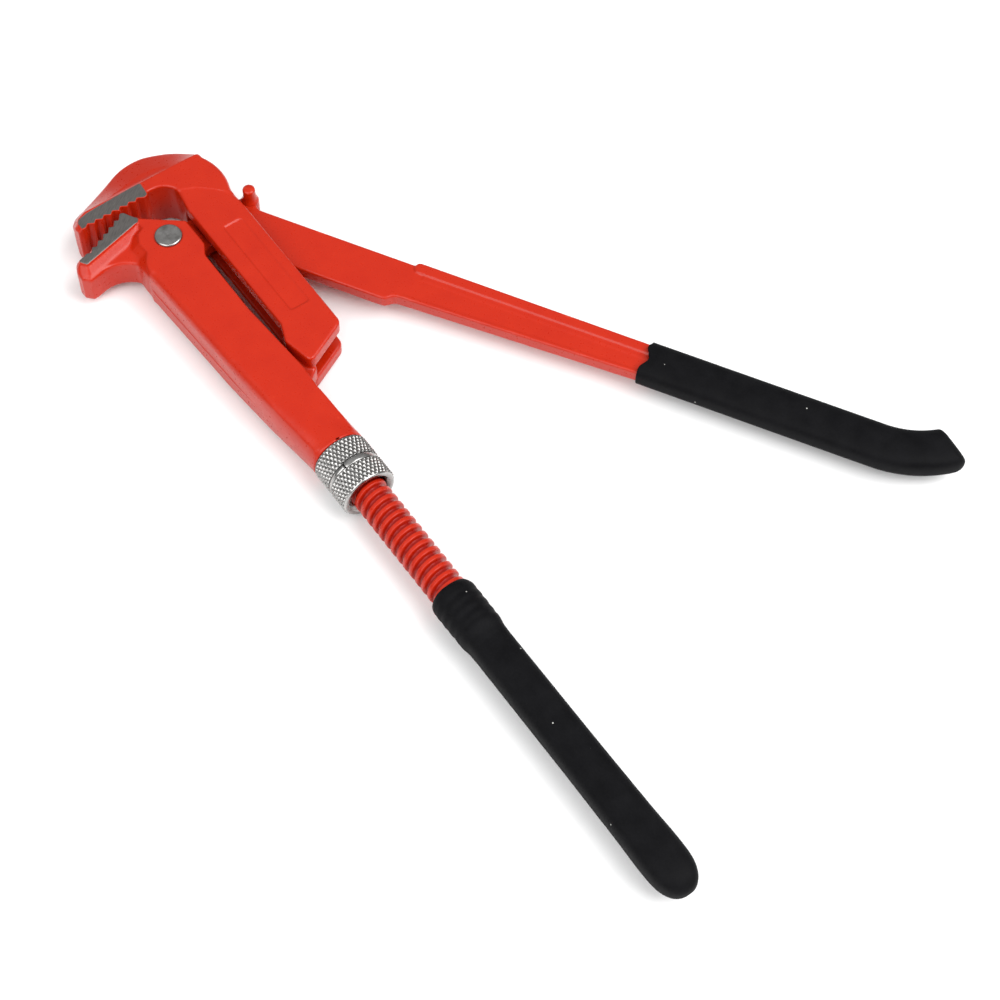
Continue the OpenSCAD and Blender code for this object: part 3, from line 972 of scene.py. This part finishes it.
@dataclass
class Handle:
    """What the lever's forging, stud and grip share: the line that the handle follows, drawn
    as if it lay along +X and then turned about the pivot."""

    turn: float = 31.0
    middle: float = 19.8
    straight: float = 217.0
    bend_r: float = 31.0
    bend: float = 41.0

    def turned(self, points: np.ndarray) -> np.ndarray:
        """Points turned about the pivot from the handle's own frame to the wrench's."""
        a = math.radians(self.turn)
        spin = np.array(
            [[math.cos(a), math.sin(a), 0.0], [-math.sin(a), math.cos(a), 0.0], [0.0, 0.0, 1.0]]
        )
        return points @ spin

    def length(self) -> float:
        """Length of the bent part, along its middle."""
        return self.bend_r * math.radians(self.bend)

    def along(self, s: np.ndarray) -> tuple[np.ndarray, np.ndarray]:
        """Place and sideways direction on the handle's middle line.

        The line is straight to its bend, then an arc, and carries on straight past it.

        Args:
            s: distance along it, from the pivot.

        Returns:
            Points (n, 2) and unit normals (n, 2) to its left.
        """
        over = np.clip(s - self.straight, 0.0, self.length())
        a = over / self.bend_r
        past = np.maximum(s - self.straight - self.length(), 0.0)
        x = np.minimum(s, self.straight) + self.bend_r * np.sin(a) + past * np.cos(a)
        y = self.middle + self.bend_r * (1.0 - np.cos(a)) + past * np.sin(a)
        return np.stack([x, y], axis=1), np.stack([-np.sin(a), np.cos(a)], axis=1)


@dataclass
class Lever(Handle):
    """The handle's forging: a ring on the pivot, a flat head with a corner by the stud, and
    an arm with a raised rib along its outer edge."""

    half: float = 2.75
    ring: float = 6.4
    rib_from: float = 69.0
    tang: float = 5.1
    tang_end: float = 232.0

    def head_plan(self) -> list[tuple[float, float]]:
        """Outline of the head."""
        return (
            [(0.0, -2.0), (9.4, 2.2), (10.4, 6.0)]
            + arc((14.4, 4.8), 4.0, 165.0, 90.0)
            + [
                (65.6, 8.8), (66.5, 9.0), (67.3, 9.6), (68.4, 10.7), (69.6, 11.15), (71.0, 23.9),
                (22.0, 24.0)
            ]
            + arc((18.6, 27.4), 3.4, -85.0, -160.0)
            + arc((13.4, 26.2), 2.6, 0.0, 150.0)
            + [(9.8, 24.7), (1.6, 13.7), (-1.2, 10.5), (-5.2, 3.4)]
        )

    def arm_plan(self) -> list[tuple[float, float]]:
        """Outline of the arm and tang, to a little past the grip's mouth."""
        return [
            (60.0, 11.6), (69.6, 11.15), (149.0, 14.2), (215.0, 14.7), (215.0, 24.9), (149.0, 24.9),
            *arc((71.6, 23.3), 1.7, 90.0, 180.0, 6), (60.0, 22.0)
        ]

    def field(self, x: np.ndarray, y: np.ndarray, z: np.ndarray) -> np.ndarray:
        """Signed distance to the forging, in the handle's own frame. The faces stand at full
        height on the rib and lie lower on the head and the arm's web.

        Args:
            x, y, z: places, arrays that broadcast together.

        Returns:
            The distance, negative inside.
        """
        head = np.minimum(outline(self.head_plan(), x, y), np.hypot(x, y) - self.ring)
        arm = outline(self.arm_plan(), x, y)
        plan = np.minimum(head, arm)
        # the rib's inner edge rises a little towards the grip, and its near end is round
        edge = 21.3 + 0.002 * (x - self.rib_from)
        rib = np.maximum(edge - y, self.rib_from + 1.0 - x)
        corner = np.hypot(
            np.maximum(edge + 1.8 - y, 0.0), np.maximum(self.rib_from + 2.8 - x, 0.0)
        ) - 1.8
        rib = np.maximum(rib, corner)
        low = self.half - 0.55
        strip = np.maximum(edge - 1.7 - y, self.rib_from + 5.0 - x)
        face = low - 0.2 * smoothstep(strip / 0.5) * smoothstep((x - self.rib_from) / 6.0)
        lip = 0.22 * smoothstep((1.3 + arm) / 0.5) * smoothstep((x - self.rib_from) / 4.0) * (y < 20.0)
        # scale left rough on the ledge beside the rib
        scale = 0.05 * np.sin(8.3 * x + 2.0 * np.sin(6.1 * y))
        scale = scale * np.sin(10.7 * y + 1.7 * np.sin(4.9 * x))
        ledge = smoothstep((edge - y) / 0.4) * smoothstep(strip / -0.4)
        face = face + lip + scale * ledge * smoothstep((x - 76.0) / 6.0)
        face = np.where(x < 12.0, face + 0.55 * smoothstep((11.0 - np.hypot(x, y)) / 1.5), face)
        face = face + (self.half - face) * smoothstep(0.5 - rib / 0.9)
        shape = slab(plan, z, face, 0.7)
        return np.maximum(shape, 3.05 - np.hypot(x, y))

    def build(self) -> Skin:
        """Meshes the forging to the bend's start, and carries the tang round the bend as a
        section swept along the handle's line.

        Returns:
            The forging's skin.
        """
        us = steps(
            (-7.5, 30.0, 0.42), (30.0, 66.0, 0.6), (66.0, 82.0, 0.42), (82.0, 152.0, 0.7),
            (152.0, 216.0, 2.0)
        )
        vs = steps((-7.5, 18.5, 0.42), (18.5, 26.0, 0.3), (26.0, 30.0, 0.42))
        zs = mirrored(steps((0.0, 1.4, 0.5), (1.4, 3.1, 0.17)))
        x, y, z = grid((us, vs, zs))
        points, faces = net(self.field(x, y, z), (us, vs, zs))
        skin = Skin()
        skin.add(self.turned(points), faces)
        s = np.linspace(213.0, self.tang_end, 16)
        middle, side = self.along(s)
        a = np.linspace(0.0, 2.0 * math.pi, 24, endpoint=False)
        w = self.tang * np.sign(np.cos(a)) * np.abs(np.cos(a)) ** 0.3
        h = (self.half - 0.3) * np.sign(np.sin(a)) * np.abs(np.sin(a)) ** 0.3
        rings = np.empty((len(s), len(a), 3))
        rings[..., :2] = middle[:, None] + side[:, None] * w[None, :, None]
        rings[..., 2] = h
        points, faces = tube(rings)
        skin.add(self.turned(points), faces)
        return skin

    def dress(self, shop: Shop) -> None:
        """Builds and finishes the forging."""
        shop.deliver(self.build(), "lever_forging", "lever", "lever_arm", Finish.ENAMEL)


def lathe(
    profile: Points, around: int, centre: tuple[float, float, float]
) -> tuple[np.ndarray, list[np.ndarray]]:
    """Surface of revolution: each (height, radius) of the profile swept round an upright axis.

    Args:
        profile: (height, radius) in order.
        around: points round the axis.
        centre: a point on the axis.

    Returns:
        Points and faces.
    """
    p = np.asarray(profile, float)
    a = np.linspace(0.0, 2.0 * math.pi, around, endpoint=False)
    up = np.repeat(p[:, :1], around, axis=1)
    rings = np.stack([p[:, 1:] * np.cos(a), p[:, 1:] * np.sin(a), up], axis=-1)
    return tube(rings + np.array(centre))


@dataclass
class Pins:
    """The pivot rivet, the toe's pin and the lever's stud."""

    half: float
    toe: tuple[float, float]
    rivet_r: float = 3.0
    head_r: float = 4.2
    head_h: float = 0.8
    stud_at: tuple[float, float] = (13.4, 26.2)
    stud_r: float = 1.9

    def rivet(self) -> Skin:
        """A turned rivet: countersunk lower end, shank, and a flat head with a soft rim, a
        shallow dish and a small centre mark."""
        h, r, t = self.half, self.head_r, self.head_h
        rim = [
            (h + 0.12 + (t - 0.12) * math.sin(q), r - 0.55 + 0.55 * math.cos(q))
            for q in np.linspace(0.0, math.pi / 2, 7)
        ]
        dish = [
            (h + t - 0.07 * float(smoothstep(np.array((3.4 - k) / 1.6))), k)
            for k in np.linspace(3.5, 0.7, 9)
        ]
        mark = [(h + t - 0.08, 0.42), (h + t - 0.13, 0.25), (h + t - 0.14, 0.05)]
        profile = [
            (-h, 0.05), (-h, r - 0.02), (-h + 1.2, self.rivet_r), (h, self.rivet_r),
            (h + 0.02, r - 0.1)
        ]
        skin = Skin()
        skin.add(*lathe(profile + rim + dish + mark, 72, (0.0, 0.0, 0.0)))
        return skin

    def toe_pin(self) -> Skin:
        """A plain pin with broken ends, through the fork and the toe."""
        profile = [(-5.0, 0.05), (-5.0, 1.7), (-4.7, 2.0), (4.7, 2.0), (5.0, 1.7), (5.0, 0.05)]
        skin = Skin()
        skin.add(*lathe(profile, 40, (*self.toe, 0.0)))
        return skin

    def stud(self, lever: Lever) -> Skin:
        """A round stud on each side of the lever, flared where it leaves the forging."""
        z = np.linspace(0.0, 7.5, 24)
        r = self.stud_r + 0.75 * np.exp(-np.maximum(z - 2.4, 0.0) / 0.8)
        tip = np.clip((z - 6.9) / 0.6, 0.0, 1.0)
        r = r - 0.5 * (1.0 - np.sqrt(np.maximum(1.0 - tip * tip, 0.0)))
        both = [(-a, b) for a, b in zip(z[:0:-1], r[:0:-1])] + list(zip(z, r))
        points, faces = lathe([(-7.5, 0.05)] + both + [(7.5, 0.05)], 36, (*self.stud_at, 0.0))
        skin = Skin()
        skin.add(lever.turned(points), faces)
        return skin

    def dress(self, shop: Shop, lever: Lever) -> None:
        """Builds and finishes the three pins."""
        shop.deliver(
            self.rivet(), "pivot_rivet_head", "pivot_rivet", "frame", Finish.RIVET
        )
        shop.deliver(self.toe_pin(), "toe_pin_turned", "toe_pin", "screw", Finish.RIVET)
        shop.deliver(
            self.stud(lever), "lever_stud", "stud_pin", "lever_arm", Finish.ENAMEL
        )


@dataclass
class Screw:
    """The screw: a slotted fork on the toe, a long coarse thread, and a flat bar inside its
    grip."""

    thread_end: float
    bar_end: float
    screw_y: float = 1.3
    fork: tuple[float, float] = (57.5, 67.6)
    slot: float = 3.05
    crest: float = 5.5
    root: float = 4.2
    pitch: float = 3.0
    around: int = 72

    def fork_skin(self) -> tuple[np.ndarray, np.ndarray]:
        """The fork: a round end cut by a slot and drilled for the toe's pin."""
        a, b = self.fork
        xs, ys = steps((a - 1.0, b + 5.0, 0.4)), steps((-5.5, 8.0, 0.4))
        zs = mirrored(steps((0.0, 6.2, 0.4)))
        x, y, z = grid((xs, ys, zs))
        shape = np.maximum(np.hypot(y - self.screw_y, z) - self.crest, np.maximum(a - x, x - b - 4.0))
        shape = np.maximum(shape, -np.maximum(np.abs(z) - self.slot, x - b))
        shape = np.maximum(shape, 2.03 - np.hypot(x - 62.0, y - self.screw_y))
        return net(shape, (xs, ys, zs))

    def thread_skin(self) -> tuple[np.ndarray, list[np.ndarray], None, np.ndarray]:
        """The thread: a tube whose radius swings between root and crest with the place along
        the screw less the pitch times the turn, so the crest runs as one right-hand helix. The
        swing is a triangle wave with its corners eased, and dies away at both ends.

        Returns:
            Points, faces, no ground areas, and the painted shade at each point, full in the valleys.
        """
        x = np.arange(self.fork[1] + 3.0, self.thread_end + 1.5, self.pitch / 20.0)[:, None]
        a = np.linspace(0.0, 2.0 * math.pi, self.around, endpoint=False)[None, :]
        phase = np.mod((x - self.thread_end) / self.pitch - a / (2.0 * math.pi), 1.0)
        wave = 1.0 - np.abs(2.0 * phase - 1.0)
        lift = smoothstep((wave - 0.36) / 0.28) * smoothstep((x - self.fork[1] - 3.0) / 1.5)
        lift = lift * smoothstep((self.thread_end + 1.3 - x) / 1.2)
        r = self.root + (self.crest - self.root) * lift
        rings = np.stack([x + 0.0 * a, self.screw_y + r * np.cos(a), r * np.sin(a)], axis=-1)
        points, faces = tube(rings)
        # painted shade: full in the thread's valleys, none on its crests
        return points, faces, None, np.append(1.0 - lift.ravel(), [0.0, 0.0])

    def bar_skin(self) -> tuple[np.ndarray, list[np.ndarray]]:
        """The bar inside the grip: a rounded oblong drawn in at both ends."""
        x = np.linspace(self.thread_end + 1.0, self.bar_end - 1.3, 40)
        ends = np.minimum(x - x[0], x[-1] - x)
        shrink = np.sqrt(np.clip(1.0 - (1.0 - np.minimum(ends / 3.0, 1.0)) ** 2, 0.05, 1.0))
        return tube(oblong(x, self.screw_y, 4.6 * shrink, 3.7 * shrink, np.full(40, 3.0), 28))

    def build(self) -> Skin:
        """Gathers the fork, thread and bar."""
        skin = Skin()
        for part in (self.fork_skin(), self.thread_skin(), self.bar_skin()):
            skin.add(*part)
        return skin

    def dress(self, shop: Shop) -> None:
        """Builds and finishes the screw."""
        shop.deliver(self.build(), "screw_rod", "screw_handle", "screw", Finish.ENAMEL)


def oblong(
    x: np.ndarray, y0: float, half_y: np.ndarray, half_z: np.ndarray, power: np.ndarray, around: int
) -> np.ndarray:
    """Rings of rounded oblongs across x.

    Each point is the half width times the cosine, and the half height times the sine, of the
    angle, both raised to two over the power: 2 is an ellipse and 4 is nearly a rectangle.

    Args:
        x: places along x.
        y0: the rings' middle across.
        half_y, half_z, power: at each place.
        around: points in each ring.

    Returns:
        Rings (n, around, 3).
    """
    a = np.linspace(0.0, 2.0 * math.pi, around, endpoint=False)[None, :]
    e = 2.0 / power[:, None]
    c = np.sign(np.cos(a)) * np.abs(np.cos(a)) ** e
    s = np.sign(np.sin(a)) * np.abs(np.sin(a)) ** e
    return np.stack([x[:, None] + 0.0 * a, y0 + half_y[:, None] * c, half_z[:, None] * s], axis=-1)


@dataclass
class Nut:
    """The knurled nut on the sleeve's end, and the split ring that holds it."""

    start: float
    end: float
    radius: float = 8.7
    screw_y: float = 1.3
    ring_x: float = 98.1
    groove: float = 0.78
    floor: float = 7.45
    knurl: float = 0.5
    starts: int = 38
    around: int = 400

    def wide(self, a: np.ndarray) -> np.ndarray:
        """How far the groove and the ring are widened at each angle: by a lug's breadth over
        the ring's broad end, from 37 to 113 degrees."""
        off = np.abs(np.degrees(np.mod(a - math.radians(75.0) + math.pi, 2.0 * math.pi) - math.pi))
        return 0.34 * smoothstep((38.0 - off) / 1.5)

    def nut_skin(self) -> Skin:
        """The nut: its profile swept round the screw, with two crossed sets of helical
        V-grooves. The radius falls by the knurl's depth times one less the smaller of two
        triangle waves, one for each set, so that flat-sided diamonds stand between them.

        Returns:
            The nut's skin.
        """
        a = np.linspace(0.0, 2.0 * math.pi, self.around, endpoint=False)[None, :]
        left, right = self.ring_x - self.groove, self.ring_x + self.groove
        bands = [
            np.linspace(self.start + 0.35, left - 0.12, 38),
            np.linspace(right + 0.12, self.end - 0.75, 36),
        ]
        rows: list[tuple[np.ndarray, np.ndarray]] = []

        def row(x: float, r: float) -> None:
            """Adds a ring of points at one place and radius."""
            rows.append((np.full_like(a, x), np.full_like(a, r)))

        def cut_rows(xs: np.ndarray, fixed: float, near: float) -> None:
            """Adds rings of knurled points, drawn away from the groove where it is widened.

            Args:
                xs: the rings' places.
                fixed: the band's edge that stays.
                near: its edge at the groove.
            """
            turn = math.pi * 2.0 / self.starts
            for at in xs:
                x = at + np.sign(near - fixed) * -self.wide(a) * (at - fixed) / (near - fixed)
                lead = x * math.tan(math.radians(32.0)) / self.radius
                one = 1.0 - np.abs(2.0 * np.mod((a + lead) / turn, 1.0) - 1.0)
                two = 1.0 - np.abs(2.0 * np.mod((a - lead) / turn, 1.0) - 1.0)
                high = np.minimum(np.minimum(one, two) * 1.25, 1.0)
                rows.append((x, self.radius - self.knurl * (1.0 - high)))

        row(self.start, 7.1)
        row(self.start, 8.2)
        row(self.start + 0.2, 8.4)
        cut_rows(bands[0], self.start, left)
        for x, r in (
            (left - 0.02, 8.45), (left, 8.3), (left, self.floor), (right, self.floor), (right, 8.3),
            (right + 0.02, 8.45)
        ):
            widen = self.wide(a) * (1.0 if x > self.ring_x else -1.0)
            rows.append((x + widen, np.full_like(a, r)))
        cut_rows(bands[1], self.end, right)
        for k in np.linspace(0.0, 1.0, 6):
            q = k * math.pi / 2
            row(self.end - 0.6 + 0.6 * math.sin(q), self.radius - 0.95 + 0.6 * math.cos(q))
        for x, r in (
            (self.end, 7.1), (self.end - 0.15, 6.95), (self.end - 1.1, 5.6), (self.end - 1.5, 5.55),
            (100.1, 5.55), (100.1, 6.95), (self.start + 0.3, 6.95)
        ):
            row(x, r)
        x = np.concatenate([p[0] for p in rows])
        r = np.concatenate([p[1] for p in rows])
        rings = np.stack([x, self.screw_y + r * np.cos(a), r * np.sin(a)], axis=-1)
        skin = Skin()
        skin.add(*tube(rings, closed_ends=False))
        return skin

    def ring_skin(self) -> Skin:
        """The ring: a small rectangle with soft corners carried round the nut's groove, with a
        gap, a little wider over its lug."""
        a = np.radians(np.linspace(114.5, 471.0, 200))
        corner = np.array(
            [(-0.65, 7.55), (-0.65, 8.32), (-0.57, 8.4), (0.57, 8.4), (0.65, 8.32), (0.65, 7.55)]
        )
        x = self.ring_x + corner[None, :, 0] + np.sign(corner[None, :, 0]) * self.wide(a)[:, None]
        r = corner[None, :, 1] + 0.0 * a[:, None]
        rings = np.stack([x, self.screw_y + r * np.cos(a)[:, None], r * np.sin(a)[:, None]], axis=-1)
        skin = Skin()
        skin.add(*tube(rings))
        return skin

    def dress(self, shop: Shop) -> None:
        """Builds and finishes the nut and its ring."""
        shop.deliver(
            self.nut_skin(), "knurled_nut", "adjusting_nut", "nut", Finish.ZINC
        )
        shop.deliver(
            self.ring_skin(), "split_ring", "retaining_ring", "nut", Finish.ZINC
        )


@dataclass
class Grips:
    """The two dipped grips."""

    screw_start: float
    screw_end: float
    screw_y: float = 1.3
    lever_start: float = 145.0
    wide: float = 6.6
    thick: float = 4.25
    around: int = 64

    def screw_grip(self) -> Skin:
        """The grip on the bar: round over the thread's end, flat after it, a little fuller
        near its closed end. The sizes along it are curves through stations, and the mouth
        turns in to the thread.

        Returns:
            The grip's skin.
        """
        x0, x1 = self.screw_start, self.screw_end
        x = np.concatenate(
            [
                np.linspace(x0, x0 + 2.0, 9), np.linspace(x0 + 2.5, x0 + 20.0, 60),
                np.linspace(x0 + 21.0, x1 - 9.0, 50),
                x1 - 9.0 * (1.0 - np.sin(np.linspace(0.05, 1.0, 20) * math.pi / 2))
            ]
        )
        s = x - x0
        stations = [0.0, 1.2, 9.0, 14.5, 17.0, 19.5, 60.0, 84.0, 95.0, 104.0, 120.0]
        half_y = np.interp(s, stations, [6.3, 6.8, 6.75, 6.6, 6.05, 5.95, 6.0, 6.2, 6.55, 6.1, 6.0])
        half_z = np.interp(s, stations, [6.3, 6.8, 6.65, 6.3, 5.4, 5.1, 5.1, 5.2, 5.4, 5.2, 5.1])
        smooth = np.array([0.15, 0.2, 0.3, 0.2, 0.15])
        half_y[4:-4] = np.convolve(half_y, smooth, "same")[4:-4]
        half_z[4:-4] = np.convolve(half_z, smooth, "same")[4:-4]
        end = np.clip((x - (x1 - 9.0)) / 9.0, 0.0, 1.0)
        shut = np.maximum(1.0 - end**2.3, 0.0) ** (1.0 / 2.3)
        power = np.interp(s, [0.0, 12.0, 18.0, 200.0], [2.0, 2.1, 2.9, 2.9])
        rings = oblong(
            x, self.screw_y, np.maximum(half_y * shut, 0.02), np.maximum(half_z * shut, 0.02),
            power, self.around
        )
        a = np.linspace(0.0, 2.0 * math.pi, self.around, endpoint=False)
        # the thread shows through as faint ridges
        ridge = 0.012 * np.sin(2.0 * math.pi * x[:, None] / 3.0 - a) * (
            smoothstep((s - 1.5) / 2.0) * smoothstep((15.0 - s) / 3.0)
        )[:, None]
        rings[..., 1:] += (rings[..., 1:] - [self.screw_y, 0.0]) * ridge[..., None]
        lip = np.exp(-s / 2.0)[:, None] * (
            0.25 * np.sin(2.0 * a + 0.6) + 0.15 * np.sin(5.0 * a)
        )[None, :]
        rings[..., 0] += np.maximum(lip, x0 - rings[..., 0])
        mouth = rings[0].copy()
        mouth[:, 1:] = (mouth[:, 1:] - [self.screw_y, 0.0]) * 0.72 + [self.screw_y, 0.0]
        mouth[:, 0] += 0.4
        rings = np.concatenate([mouth[None], rings])
        skin = Skin()
        skin.add(*tube(rings))
        return skin

    def lever_grip(self, lever: Lever) -> Skin:
        """The grip on the lever: a rounded oblong carried along the handle's line, with a wavy
        mouth and a soft square end.

        Args:
            lever: the forging whose line it follows.

        Returns:
            The grip's skin.
        """
        end = lever.straight + lever.length()
        s = np.concatenate(
            [
                np.linspace(self.lever_start, self.lever_start + 2.5, 8),
                np.linspace(self.lever_start + 3.2, end - 3.0, 74),
                end - 3.0 * (1.0 - np.sin(np.linspace(0.05, 1.0, 14) * math.pi / 2))
            ]
        )
        middle, side = lever.along(s)
        left = end - s
        shut = np.maximum(1.0 - np.clip(1.0 - left / 3.0, 0.0, 1.0) ** 2.4, 0.0) ** (1.0 / 2.4)
        w = (self.wide - 2.6) + 2.6 * shut
        w = np.where(shut <= 0.02, self.wide * 0.6, w)
        h = np.maximum(self.thick * shut, 0.05)
        a = np.linspace(0.0, 2.0 * math.pi, self.around, endpoint=False)
        e = 2.0 / 3.1
        c = np.sign(np.cos(a)) * np.abs(np.cos(a)) ** e
        t = np.sign(np.sin(a)) * np.abs(np.sin(a)) ** e
        rings = np.empty((len(s), self.around, 3))
        rings[..., :2] = middle[:, None] + side[:, None] * (w[:, None] * c[None])[..., None]
        rings[..., 2] = h[:, None] * t[None]
        # the end is cut back on its inner side and carried on a little on its outer side
        ahead = np.stack([side[:, 1], -side[:, 0]], axis=1)
        slant = np.clip(1.0 - left / 14.0, 0.0, 1.0) ** 2
        rings[..., :2] += ahead[:, None] * (slant[:, None] * (0.2 - 1.3 * c[None]))[..., None]
        # the dip's edge runs further along the middle of each face than at its sides
        near = np.exp(-(s - self.lever_start) / 3.0)[:, None]
        wave = 0.9 * (1.0 + np.cos(2.4 * c * math.pi / 1.5 + 0.8)) * np.abs(t) ** 2
        rings[..., 0] += near * wave[None]
        mouth = rings[0].copy()
        mouth[:, 1] = (mouth[:, 1] - lever.middle) * 0.84 + lever.middle
        mouth[:, 2] *= 0.70
        mouth[:, 0] += 0.5
        rings = np.concatenate([mouth[None], rings])
        points, faces = tube(rings)
        skin = Skin()
        skin.add(lever.turned(points), faces)
        return skin

    def dress(self, shop: Shop, lever: Lever) -> None:
        """Builds and finishes both grips."""
        shop.deliver(
            self.screw_grip(), "screw_grip_dip", "screw_grip", "screw", Finish.VINYL
        )
        shop.deliver(
            self.lever_grip(lever), "lever_grip_dip", "lever_grip", "lever_arm",
            Finish.VINYL
        )


# ---------------------------------------------------------------- studio


@dataclass(frozen=True)
class Studio:
    """Pale floor, soft light and the camera, with every length in metres."""

    place: tuple[float, float, float] = (0.42715, -0.18096, 0.59315)
    forward: tuple[float, float, float] = (-0.43275, 0.30584, -0.84805)
    lens: float = 88.2
    sensor: float = 36.0
    floor_drop: float = 0.0008
    floor_half: float = 4.0
    middle: tuple[float, float, float] = (0.09, 0.05, 0.0)
    key_place: tuple[float, float, float] = (0.85, 0.6, 1.3)
    key_watts: float = 29.0
    fill_place: tuple[float, float, float] = (0.35, -0.95, 1.1)
    fill_watts: float = 15.0
    lamp_size: float = 1.3
    room_low: float = 0.18
    room_high: float = 0.55

    def camera(self) -> None:
        """Puts the camera at its place, looking along its forward direction, level."""
        data = bpy.data.cameras.new("camera")
        data.lens, data.sensor_width = self.lens, self.sensor
        data.clip_start, data.clip_end = 0.01, 20.0
        cam = bpy.data.objects.new("camera", data)
        bpy.context.scene.collection.objects.link(cam)
        turn = Vector(self.forward).to_track_quat("-Z", "Y")
        cam.matrix_world = Matrix.Translation(Vector(self.place)) @ turn.to_matrix().to_4x4()
        bpy.context.scene.camera = cam

    def area(self, name: str, place: tuple[float, float, float], watts: float) -> None:
        """Adds a square soft light that faces the wrench's middle.

        Args:
            name: the lamp's name.
            place: where it hangs, in metres.
            watts: its power.
        """
        data = bpy.data.lights.new(name, "AREA")
        data.shape, data.size, data.energy = "SQUARE", self.lamp_size, watts
        lamp = bpy.data.objects.new(name, data)
        bpy.context.scene.collection.objects.link(lamp)
        aim = Vector(self.middle) - Vector(place)
        turn = aim.to_track_quat("-Z", "Y").to_matrix().to_4x4()
        lamp.matrix_world = Matrix.Translation(Vector(place)) @ turn

    def floor(self) -> None:
        """A wide pale sheet just under the wrench."""
        data = bpy.data.meshes.new("floor")
        half, z = self.floor_half, -self.floor_drop
        data.from_pydata(
            [(-half, -half, z), (half, -half, z), (half, half, z), (-half, half, z)], [],
            [(0, 1, 2, 3)]
        )
        sheet = bpy.data.objects.new("floor", data)
        bpy.context.scene.collection.objects.link(sheet)
        mat, add, place = begin("white_paper")
        fibre = add("TexNoise", {"Vector": place, "Scale": 300.0})
        shade = add("ValToRGB", {0: fibre}, stops=((0.0, "#F6F6F6"), (1.0, "#FAFAFA")))
        shader = add(
            "BsdfPrincipled", {"Base Color": shade, "Roughness": 0.9, "Specular IOR Level": 0.1}
        )
        add("OutputMaterial", {0: shader})
        data.materials.append(mat)

    def build(self) -> None:
        """Sets the camera, floor, lights and surrounding light."""
        self.camera()
        self.floor()
        scene = bpy.context.scene
        scene.view_settings.view_transform = "Standard"
        world = bpy.data.worlds.new("studio")
        scene.world = world
        world.use_nodes = True
        tree = world.node_tree
        heading = add_node(tree, "TexCoord").outputs["Generated"]
        height = add_node(tree, "SeparateXYZ", {0: heading}).outputs["Z"]
        # a room that is dim low down and bright overhead
        glow = add_node(
            tree, "MapRange", {0: height, 1: 0.0, 2: 0.8, 3: self.room_low, 4: self.room_high}
        )
        tree.links.new(glow.outputs[0], tree.nodes["Background"].inputs[1])
        tree.nodes["Background"].inputs[0].default_value = (1.0, 1.0, 1.0, 1.0)
        self.area("key_light", self.key_place, self.key_watts)
        self.area("fill_light", self.fill_place, self.fill_watts)


# ---------------------------------------------------------------- the wrench


def main() -> None:
    """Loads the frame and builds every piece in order."""
    logging.basicConfig(level=logging.INFO, format="%(name)s: %(message)s")
    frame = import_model()
    low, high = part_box("hook_jaw")
    half = (high.z - low.z) / 2.0 / MM
    lift = (high.z + low.z) / 2.0 / MM
    toe_joint = next(j for j in frame["record"]["behaviour"]["joints"] if j["name"] == "hook_pivot")
    toe = (toe_joint["pos_m"][0] / MM, toe_joint["pos_m"][1] / MM)
    nut_low, nut_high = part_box("adjusting_nut")
    grip_low, grip_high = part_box("screw_grip")
    shop = Shop(lift=lift)
    lever = Lever()
    Body(half=half, screw_y=toe[1]).dress(shop)
    HookJaw(half=half, toe=toe).dress(shop)
    lever.dress(shop)
    Pins(half=half, toe=toe).dress(shop, lever)
    Screw(thread_end=grip_low.x / MM, bar_end=grip_high.x / MM, screw_y=toe[1]).dress(shop)
    Nut(start=nut_low.x / MM, end=nut_high.x / MM, screw_y=toe[1]).dress(shop)
    Grips(screw_start=grip_low.x / MM, screw_end=grip_high.x / MM, screw_y=toe[1]).dress(shop, lever)
    Studio().build()


if __name__ == "__main__":
    main()
